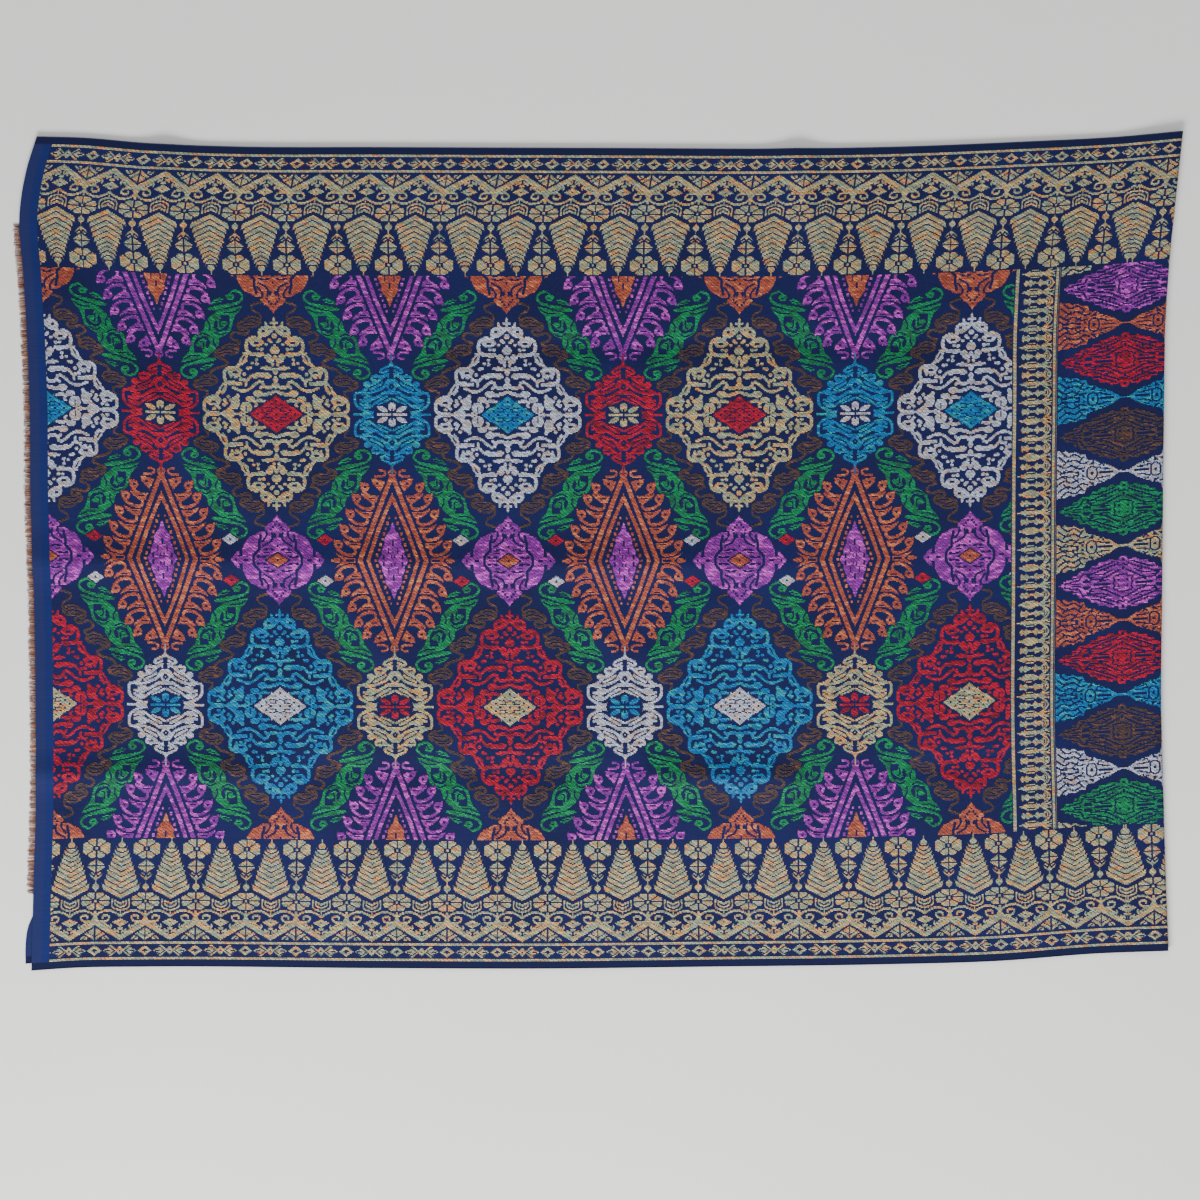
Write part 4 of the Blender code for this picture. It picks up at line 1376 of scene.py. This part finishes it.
def ground_material(weave):
    """Navy plain weave, near black in the hems, and a bluer plain band before the brocade at both ends."""
    made, tree = new_material("Navy plain weave")
    threads = use_group(tree, weave, Pitch_mm=0.55, Strength=0.35)
    clouds = step_up(tree, noise(tree, scale=9.0, detail=3.0), low=0.35, high=0.7)
    specks = scaled(tree, step_up(tree, noise(tree, scale=650.0), low=0.5, high=0.75), factor=0.45)
    navy = blended(tree, clouds, rgba(NAVY_DEEP), rgba(NAVY))
    navy = blended(tree, specks, navy, rgba(NAVY_BRIGHT))
    along, across = cloth_place(tree)
    from_end = from_sides(tree, along, CLOTH_LENGTH)
    from_selvedge = from_sides(tree, across, CLOTH_WIDTH)
    band = blended(tree, step_up(tree, from_end, *END_GREY_SPAN), rgba(END_GREY), rgba(END_BLUE))
    colour = blended(tree, step_up(tree, from_end, *END_BLUE_SPAN), band, navy)
    colour = blended(tree, step_up(tree, from_selvedge, *HEM_SPAN), rgba(HEM_NAVY), colour)
    # Painted shade of the weave's relief, with the slubs' own tone.
    colour = shaded(tree, colour, threads["Shade"])
    return finished(made, colour, threads["Normal"], Roughness=0.78, Specular_IOR_Level=0.15)


def selvedge_material(weave):
    """The hem's edge: near black navy thread."""
    made, tree = new_material("Hem edge")
    threads = use_group(tree, weave, Pitch_mm=0.9, Strength=0.4)
    colour = blended(tree, noise(tree, scale=300.0), *(rgba(thread) for thread in HEM_THREADS))
    return finished(made, colour, threads["Normal"], Roughness=0.75)


FLOOR_COLOURS = ((236, 233, 229), (242, 239, 235))
FLOOR_HALF = 4.0
FLOOR_DROP = 0.0002


def floor_material():
    """A pale matt surface with faint clouds."""
    made, tree = new_material("Pale floor")
    colour = blended(tree, noise(tree, scale=3.0), *(rgba(tone) for tone in FLOOR_COLOURS))
    return finished(made, colour, Roughness=0.9)


def floor():
    """A plain pale floor just under the cloth."""
    corners = np.array([[-1, -1, 0], [1, -1, 0], [1, 1, 0], [-1, 1, 0]]) * FLOOR_HALF
    points = corners - np.array([0, 0, FLOOR_DROP])
    return mesh_object("floor", points, np.array([[0, 1, 2, 3]]), floor_material(), smooth_shading=False)


# Name, place and size in metres, and watts: a soft key beyond the lower selvedge and a weaker fill opposite.
LIGHTS = (
    ("key", (-0.5, -2.4, 1.35), (2.0, 0.9), 150),
    ("fill", (0.6, 2.0, 2.4), (2.4, 1.6), 22),
)
SURROUND_COLOUR = (0.92, 0.94, 1.0, 1.0)
SURROUND_STRENGTH = 0.56


def area_light(name, place, size, energy):
    """A rectangular light that faces the cloth's middle."""
    light = bpy.data.lights.new(name, "AREA")
    light.shape = "RECTANGLE"
    light.size, light.size_y = size
    light.energy = energy
    holder = bpy.data.objects.new(name, light)
    bpy.context.scene.collection.objects.link(holder)
    holder.location = place
    holder.rotation_euler = (-Vector(place)).to_track_quat("-Z", "Y").to_euler()
    return holder


def lights():
    """Both lights, and an even pale surround."""
    made = [area_light(*light) for light in LIGHTS]
    world = bpy.data.worlds.new("surround")
    world.use_nodes = True
    background = world.node_tree.nodes["Background"]
    background.inputs["Color"].default_value = SURROUND_COLOUR
    background.inputs["Strength"].default_value = SURROUND_STRENGTH
    bpy.context.scene.world = world
    return made


CAMERA_HEIGHT = 3.4
PHOTO_WIDTH = 1.164  # metres across the photo
PHOTO_MIDDLE = (0.0, -0.0475)


def camera():
    """Straight above the cloth, as in the photo."""
    lens = bpy.data.cameras.new("camera")
    lens.angle = 2 * np.arctan(PHOTO_WIDTH / 2 / CAMERA_HEIGHT)
    holder = bpy.data.objects.new("camera", lens)
    bpy.context.scene.collection.objects.link(holder)
    holder.location = (*PHOTO_MIDDLE, CAMERA_HEIGHT)
    bpy.context.scene.camera = holder


def main():
    """Builds every piece, says what it stands for and stages it."""
    twist, weave = yarn_group(), weave_group()
    materials = {kind: yarn_material(twist, *finish) for kind, finish in YARN_FINISHES.items()}
    hem = selvedge_material(weave)
    ground = ground_cloth(ground_material(weave))
    brocade = front_brocade(materials) + back_brocade(materials)
    edges = [selvedge("lower_selvedge", 0.0, hem), selvedge("upper_selvedge", 1.0, hem)]
    ends = weft_ends(materials["ends"])

    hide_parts("folded_cloth")
    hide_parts("weft_end_fringe")
    for piece in [ground, *brocade, *edges]:
        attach(piece, "root")
    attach(ends, "root")

    floor()
    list(lights())
    camera()


main()
